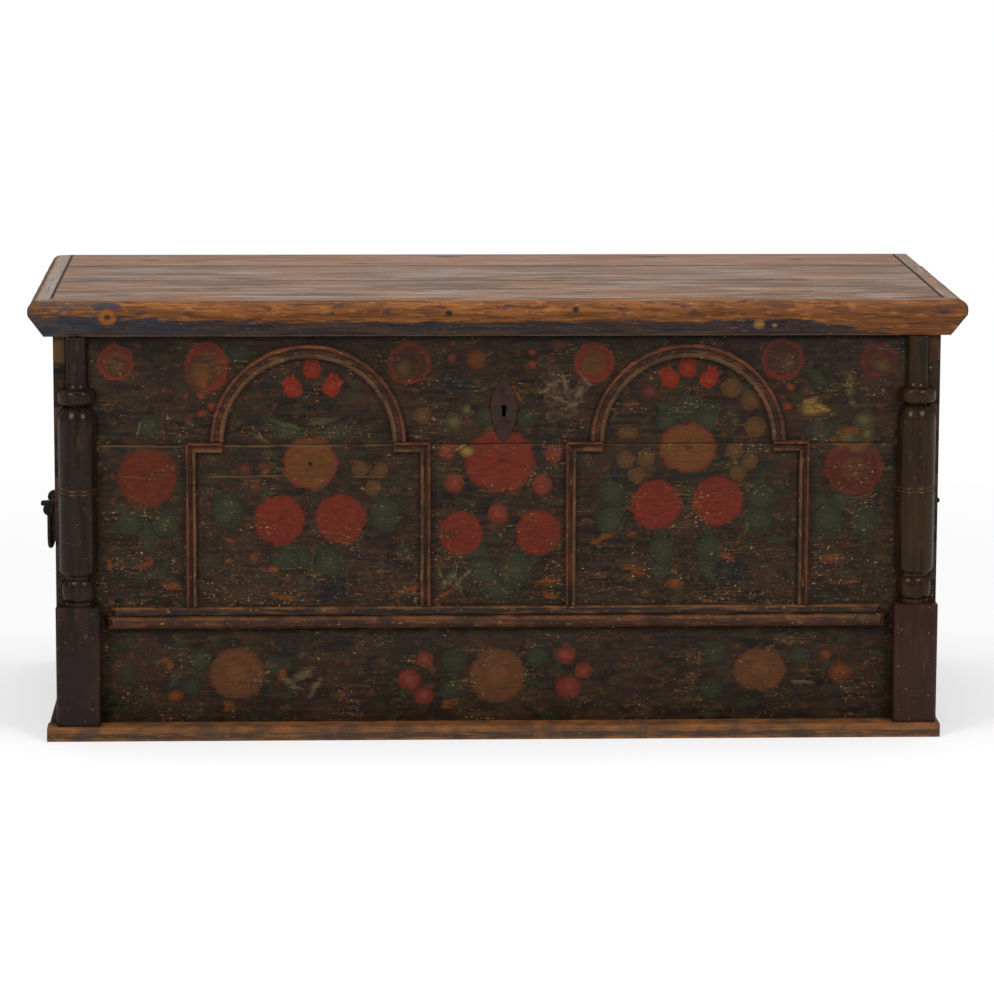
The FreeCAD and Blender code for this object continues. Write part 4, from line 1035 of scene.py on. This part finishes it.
def curve_rings(radius, level, width, height, start, end, steps):
    """Rings of a turned outline along a part of an ellipse, as radius and level."""
    rings = []
    for index in range(steps + 1):
        angle = math.radians(start + (end - start) * index / steps)
        rings.append((radius + width * math.cos(angle), level + height * math.sin(angle)))
    return rings


def column_rings():
    """The whole turned outline from foot to neck."""
    bead_low = COLUMN_FOOT + PLINTH_HEIGHT
    bead_high = bead_low + BEAD_HEIGHT
    shaft_low = bead_high + WAIST_HEIGHT + SHAFT_FOOT
    shaft_high = shaft_low + SHAFT_HEIGHT
    ring_low = shaft_high + SHOULDER_HEIGHT + GROOVE_HEIGHT
    ring_high = ring_low + RING_HEIGHT
    neck_low = ring_high + FLARE_HEIGHT
    rings = [(PLINTH_RADIUS, COLUMN_FOOT), (PLINTH_RADIUS, bead_low)]
    rings += curve_rings(BEAD_ROOT, (bead_low + bead_high) / 2, BEAD_RADIUS - BEAD_ROOT,
                         BEAD_HEIGHT / 2, -90, 90, 12)
    rings += [(WAIST_RADIUS, bead_high + WAIST_HEIGHT / 2)]
    rings += curve_rings(WAIST_RADIUS, shaft_low, SHAFT_RADIUS - WAIST_RADIUS, SHAFT_FOOT,
                         -90, 0, 8)
    # A ring close to each outer score keeps the shine of the straight shaft even
    rings += [(SHAFT_RADIUS, shaft_low + SCORES[0] - SCORE_HALF - SCORE_EASE)]
    for score in SCORES:
        level = shaft_low + score
        rings += [(SHAFT_RADIUS, level - SCORE_HALF), (SHAFT_RADIUS - SCORE_DEPTH, level),
                  (SHAFT_RADIUS, level + SCORE_HALF)]
    rings += [(SHAFT_RADIUS, shaft_low + SCORES[-1] + SCORE_HALF + SCORE_EASE)]
    rings += curve_rings(GROOVE_RADIUS, shaft_high, SHAFT_RADIUS - GROOVE_RADIUS, SHOULDER_HEIGHT,
                         0, 90, 12)
    rings += [(GROOVE_RADIUS, ring_low)]
    rings += curve_rings(RING_RADIUS - RING_ROUND, ring_low + RING_ROUND, RING_ROUND, RING_ROUND,
                         -90, 0, 5)
    rings += curve_rings(RING_RADIUS - RING_ROUND, ring_high - RING_ROUND, RING_ROUND, RING_ROUND,
                         0, 90, 5)
    flare = RING_RADIUS - RING_ROUND - NECK_RADIUS
    rings += curve_rings(NECK_RADIUS + flare, neck_low, flare, FLARE_HEIGHT, -90, -180, 7)[1:]
    rings += [(NECK_RADIUS, COLUMN_TOP)]
    return rings


def turned_column(name, side, material):
    """A column drawn up ring by ring from a disc, then split down its middle."""
    axis = Vector((side * (HALF_LENGTH - COLUMN_INSET), FRONT_FACE, 0)) * MM
    rings = column_rings()
    radius, level = rings[0]
    piece = start_disc(name, 72, radius, axis + Vector((0, 0, level * MM)))
    for next_radius, next_level in rings[1:]:
        rise = (0, 0, (next_level - level) * MM)
        bpy.ops.mesh.extrude_region_move(TRANSFORM_OT_translate={"value": rise})
        share = next_radius / radius
        bpy.ops.transform.resize(value=(share, share, 1),
                                 center_override=axis + Vector((0, 0, next_level * MM)))
        radius, level = next_radius, next_level
    weld()
    bpy.ops.mesh.select_all(action="SELECT")
    bpy.ops.mesh.bisect(plane_co=axis, plane_no=(0, 1, 0), use_fill=True, clear_outer=True)
    close_piece()
    smooth(piece, 40)
    finish_piece(piece, "chest", material, [name.replace("turned_", "")])


# Bails of the side handles

HANDLE_LEVEL = sum(corner.z for corner in corners("left_eye_front")) / 2
HANDLE_REACH = 21.0
BAIL_DROP = 60.0
BAIL_RADIUS = 4.0
BAIL_HALF = 46.0
BAIL_ELBOW = 5.0
BAIL_CORNER = 18.0
BAIL_END = 61.5
BAIL_HEAD = 6.2
BAIL_HEAD_WIDTH = 3.0
BAIL_HEAD_EASE = 0.8
# The spin operator turns a positive angle clockwise when seen along its axis
BEND_TURN = -90


def forged_bail(name, side, material):
    """A round bar drawn along and bent round its corners, with a riveted head at each end."""
    x = side * (HALF_LENGTH + HANDLE_REACH) * MM
    end = BAIL_END + BAIL_HEAD_WIDTH
    piece = start_disc(name, 20, BAIL_RADIUS, (x, end * MM, HANDLE_LEVEL * MM),
                       (math.radians(90), 0, 0))

    def draw(y, z):
        bpy.ops.mesh.extrude_region_move(TRANSFORM_OT_translate={"value": (0, y * MM, z * MM)})

    def swell(share, y, z):
        bpy.ops.transform.resize(value=(share, share, share), center_override=(x, y * MM, z * MM))

    def bend(y, z, angle):
        bpy.ops.mesh.spin(steps=8, angle=math.radians(angle), center=(x, y * MM, z * MM),
                          axis=(1, 0, 0), dupli=False)

    swell(BAIL_HEAD_EASE, end, HANDLE_LEVEL)
    draw(0, 0)
    swell(BAIL_HEAD / BAIL_RADIUS / BAIL_HEAD_EASE, end, HANDLE_LEVEL)
    draw(-BAIL_HEAD_WIDTH, 0)
    draw(0, 0)
    swell(BAIL_RADIUS / BAIL_HEAD, BAIL_END, HANDLE_LEVEL)
    draw(BAIL_HALF + BAIL_ELBOW - BAIL_END, 0)
    elbow_level = HANDLE_LEVEL - BAIL_ELBOW
    corner_level = HANDLE_LEVEL - BAIL_DROP + BAIL_CORNER
    bend(BAIL_HALF + BAIL_ELBOW, elbow_level, BEND_TURN)
    draw(0, corner_level - elbow_level)
    bend(BAIL_HALF - BAIL_CORNER, corner_level, -BEND_TURN)
    draw(-(BAIL_HALF - BAIL_CORNER), 0)
    draw(-(BAIL_HALF - BAIL_CORNER), 0)
    bend(-(BAIL_HALF - BAIL_CORNER), corner_level, -BEND_TURN)
    draw(0, elbow_level - corner_level)
    bend(-(BAIL_HALF + BAIL_ELBOW), elbow_level, BEND_TURN)
    draw(BAIL_HALF + BAIL_ELBOW - BAIL_END, 0)
    draw(0, 0)
    swell(BAIL_HEAD / BAIL_RADIUS, -BAIL_END, HANDLE_LEVEL)
    draw(-BAIL_HEAD_WIDTH, 0)
    draw(0, 0)
    swell(BAIL_HEAD_EASE * BAIL_RADIUS / BAIL_HEAD, -end, HANDLE_LEVEL)
    weld()
    close_piece()
    smooth(piece, 50)
    node = name.replace("forged_", "")
    finish_piece(piece, node, material, [node])


# Nails: their places on the pedestals, across and up, and along the hinge straps from the tip

PEDESTAL_NAILS = ((-566, 145), (-603, 139), (-567, 44), (-601, 44), (566, 152), (570, 62),
                  (591, 58), (597, 64))
STRAP_NAILS = (44.0, 112.0, 180.0, 248.0)
HINGE_SHEET = 3.0
PLATE_NAIL_INSET = 9.0


def nail_model(name, radius_mm, sides):
    """A hand-made nail's head: a low faceted dome on the surface, modelled at the origin and
    looking along +Z."""
    piece = start_disc(name, sides, radius_mm)
    level = 0.0
    for rise_share, share in ((0.25, 1.0), (0.2, 0.72), (0.12, 0.45)):
        rise = rise_share * radius_mm * MM
        bpy.ops.mesh.extrude_region_move(TRANSFORM_OT_translate={"value": (0, 0, rise)})
        level += rise
        bpy.ops.transform.resize(value=(share, share, 1), center_override=(0, 0, level))
    close_piece()
    return piece


def drive(model, name, body, material, spots, way):
    """Copies a nail to each spot, its head looking one way, and joins the copies."""
    turn = Vector((0, 0, 1)).rotation_difference(Vector(way)).to_matrix().to_4x4()
    copies = []
    for index, spot in enumerate(spots):
        copy = bpy.data.objects.new(name + str(index), model.data.copy())
        bpy.context.collection.objects.link(copy)
        spin = Matrix.Rotation(index * 2.1, 4, "Z")
        copy.data.transform(Matrix.Translation(Vector(spot) * MM) @ turn @ spin)
        copies.append(copy)
    take(*copies)
    bpy.ops.object.join()
    piece = bpy.context.object
    piece.name = name
    finish_piece(piece, body, material)


# The camera comes first, then the chest from the ground up

CAMERA_PLACE = (-0.251, -6.3006, 1.3571)
CAMERA_PITCH = 9.585
CAMERA_YAW = 2.368
CAMERA_ROLL = -0.187
CAMERA_LENS = 158.6
SHADOW_REACH = 1.1
# Soft lights: place, size in metres, power in watts
SOFTBOXES = {"left_softbox": ((-2.6, -3.2, 2.5), 1.6, 82.0),
             "right_softbox": ((2.4, -3.4, 2.6), 1.6, 82.0),
             "top_softbox": ((0.0, 0.2, 3.4), 2.4, 56.0)}
LIGHT_AIM = (0, 0, 0.35)


def set_camera():
    """The photograph's camera, found by matching the corners of the chest."""
    data = bpy.data.cameras.new("studio_camera")
    data.lens = CAMERA_LENS
    data.sensor_width = 36.0
    data.clip_end = 200.0
    camera = bpy.data.objects.new("studio_camera", data)
    bpy.context.collection.objects.link(camera)
    turn = Matrix.Rotation(math.radians(-CAMERA_YAW), 4, "Z")
    turn = turn @ Matrix.Rotation(math.radians(90 - CAMERA_PITCH), 4, "X")
    turn = turn @ Matrix.Rotation(math.radians(-CAMERA_ROLL), 4, "Z")
    camera.matrix_world = Matrix.Translation(CAMERA_PLACE) @ turn
    bpy.context.scene.camera = camera


def build_front():
    """The painted boards and what is nailed on them."""
    boards = {"front_board_bottom": ((0.0, LOW_JOINT), 0.10, 0.10),
              "front_board_middle": ((LOW_JOINT, HIGH_JOINT), 0.10, 0.42),
              "front_board_top": ((HIGH_JOINT, LID_TOP), 0.10, 0.10)}
    for node, (span, wear_high, wear_low) in boards.items():
        material = painted_front("painted_" + node, span, wear_high, wear_low)
        worn_pieces([node], "painted_", "chest", material, 0.8)
    for part, along, measure in (("arch", 0, across_arch), ("upright", 2, across_upright),
                                 ("impost", 0, across_impost)):
        paint = worn_paint("painted_" + part + "_moulding", along, measure, ARCH_STEPS,
                           "#75452a", "#2a1f18")
        if part == "arch":
            nodes, cut = ("left_arch", "right_arch"), None
        else:
            nodes = [side + "_arch_" + part + "_" + end for side in SIDES for end in SIDES]
            cut = (along, 8)
        worn_pieces(nodes, "worn_", "chest", paint, 0.7, cut, (0.5, 12),
                    off_wall)
    paint = worn_paint("painted_rail", 0, up_between(RAIL_LOW, RAIL_TOP), RAIL_STEPS,
                       "#70462a", "#241a14")
    worn_pieces(("rail_lower", "rail_upper"), "worn_", "chest", paint, 1.0,
                (0, 9), (0.9, 16), off_wall)
    paint = worn_paint("worn_base_paint", 0, up_between(0.0, BASE_TOP), BASE_STEPS,
                       "#8f5e30", "#3b2f28")
    worn_pieces(["base_front"], "worn_", "chest", paint, 1.2, (0, 9), (1.0, 18),
                off_floor)
    stain = stained_pine("stained_base_end", 1, "#4a2f1e", "#2c1c13", "#7a5230", 0.05)
    worn_pieces(("base_left", "base_right"), "worn_", "chest", stain, 0.8)


def build_columns():
    """The pedestals and the half columns on them, the left ones darker."""
    stains = {
        "left": stained_pine("black_stained_pine", 2, "#251814", "#17100d", "#45291a", 0.02),
        "right": stained_pine("red_brown_stained_pine", 2, "#34190f", "#211008", "#47291a", 0.1),
    }
    turned = {
        "left": turned_wood("black_varnished_turned_pine", "#2a1d14", "#16100b"),
        "right": turned_wood("brown_varnished_turned_pine", "#33210f", "#1e1308"),
    }
    for side, sign in SIDES.items():
        worn_pieces([side + "_pedestal"], "worn_", "chest", stains[side], 1.2)
        turned_column("turned_" + side + "_column", sign, turned[side])


def build_carcase():
    """The sides, the back and the floor."""
    sides = side_boards_finish("stained_side_boards")
    worn_pieces([side + "_side_" + level for side in SIDES for level in ("lower", "upper")],
                "joined_", "chest", sides, 0.7)
    back = bare_pine("dusty_bare_pine", 0, "#8a6a48", "#5f452e")
    worn_pieces(("back_board_lower", "back_board_upper"), "joined_", "chest", back,
                0.7)
    floor = bare_pine("floor_pine", 0, "#80603f", "#573f2a")
    worn_pieces(["floor_board_" + place for place in ("front", "middle", "back")], "eased_",
                "chest", floor, 0.8)


def build_lid():
    """The lid's boards and the mouldings round them."""
    boards = lid_boards_finish("worn_grey_lid_pine")
    worn_pieces(["lid_board_" + place for place in ("front", "middle", "back")], "worn_", "lid",
                boards, 0.7)
    for along, name, nodes in (
            (0, "worn_painted_lid_edge", ["lid_moulding_front"]),
            (1, "worn_painted_lid_end", ["lid_moulding_left", "lid_moulding_right"])):
        worn_pieces(nodes, "worn_", "lid", lid_edge_finish(name, along), 1.6,
                    (along, 10), (1.1, 26), off_lid)


def build_iron():
    """The lock, the hinges, the handles and all nails."""
    iron = forged_iron("forged_wrought_iron", "#231f1d", "#38231a")
    lock_plate = forged_iron("patinated_lock_plate", "#301d18", "#28170f", metallic=0.1)
    nails = forged_iron("rusted_nail_heads", "#33271f", "#563422", metallic=0.5)
    worn_pieces(["escutcheon"], "eased_", "chest", lock_plate, 0.6)
    plain = ["lock_case", "lock_bolt", "lock_staple"]
    plain += [side + "_hinge_" + part for side in SIDES for part in ("leaf", "pin", "strap")]
    for node in plain:
        coat(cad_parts[node], iron)
    for side, sign in SIDES.items():
        rings = [side + part + end for end in ("front", "back") for part in ("_eye_", "_rose_")]
        worn_pieces(rings, "eased_", "chest", iron, 0.6)
        forged_bail("forged_" + side + "_bail", sign, iron)
    model = nail_model("nail", 2.6, 7)
    face = corners("left_pedestal")[0].y
    drive(model, "pedestal_nails", "chest", nails,
          [(across, face, up) for across, up in PEDESTAL_NAILS], (0, -1, 0))
    small = nail_model("small_nail", 1.7, 6)
    low, high = corners("escutcheon")
    middle = (low.x + high.x) / 2
    levels = (high.z - PLATE_NAIL_INSET, low.z + PLATE_NAIL_INSET)
    drive(small, "plate_nails", "chest", nails, [(middle, low.y, level) for level in levels],
          (0, -1, 0))
    face = BACK_FACE + HINGE_SHEET
    under = LID_UNDERSIDE - HINGE_SHEET
    for side in SIDES:
        low, high = corners(side + "_hinge_leaf")
        middle = (low.x + high.x) / 2
        drive(model, side + "_leaf_nails", "chest", nails,
              [(middle - 8, face, high.z - 26), (middle + 8, face, high.z - 26),
               (middle, face, (low.z + high.z) / 2 - 4), (middle, face, low.z + 20)], (0, 1, 0))
        low, high = corners(side + "_hinge_strap")
        middle = (low.x + high.x) / 2
        drive(model, side + "_strap_nails", "lid", nails,
              [(middle, low.y + reach, under) for reach in STRAP_NAILS], (0, 0, -1))
    bpy.data.objects.remove(small)
    bpy.data.objects.remove(model)


def build_studio():
    """The floor, three soft lights and a white world that only the camera sees in full."""
    bpy.ops.object.select_all(action="DESELECT")
    bpy.ops.mesh.primitive_plane_add(size=240.0, location=(0, 0, 0))
    floor = bpy.context.object
    floor.name = "studio_floor"
    floor.data.materials.append(studio_floor())
    for name, (place, size, power) in SOFTBOXES.items():
        data = bpy.data.lights.new(name, "AREA")
        data.shape = "SQUARE"
        data.size = size
        data.energy = power
        lamp = bpy.data.objects.new(name, data)
        bpy.context.collection.objects.link(lamp)
        turn = (Vector(LIGHT_AIM) - Vector(place)).to_track_quat("-Z", "Y").to_matrix().to_4x4()
        lamp.matrix_world = Matrix.Translation(place) @ turn
    world = bpy.data.worlds.new("studio_air")
    bpy.context.scene.world = world
    world.use_nodes = True
    tree = world.node_tree
    tree.nodes.clear()
    seen = add(tree, "LightPath").node.outputs["Is Camera Ray"]
    strength = add(tree, "MapRange", (seen, 0.0, 1.0, 0.42))
    add(tree, "OutputWorld", [add(tree, "Background", ("#ffffff", strength))])


set_camera()
build_front()
build_columns()
build_carcase()
build_lid()
build_iron()
build_studio()
bpy.context.scene.view_settings.view_transform = "Standard"
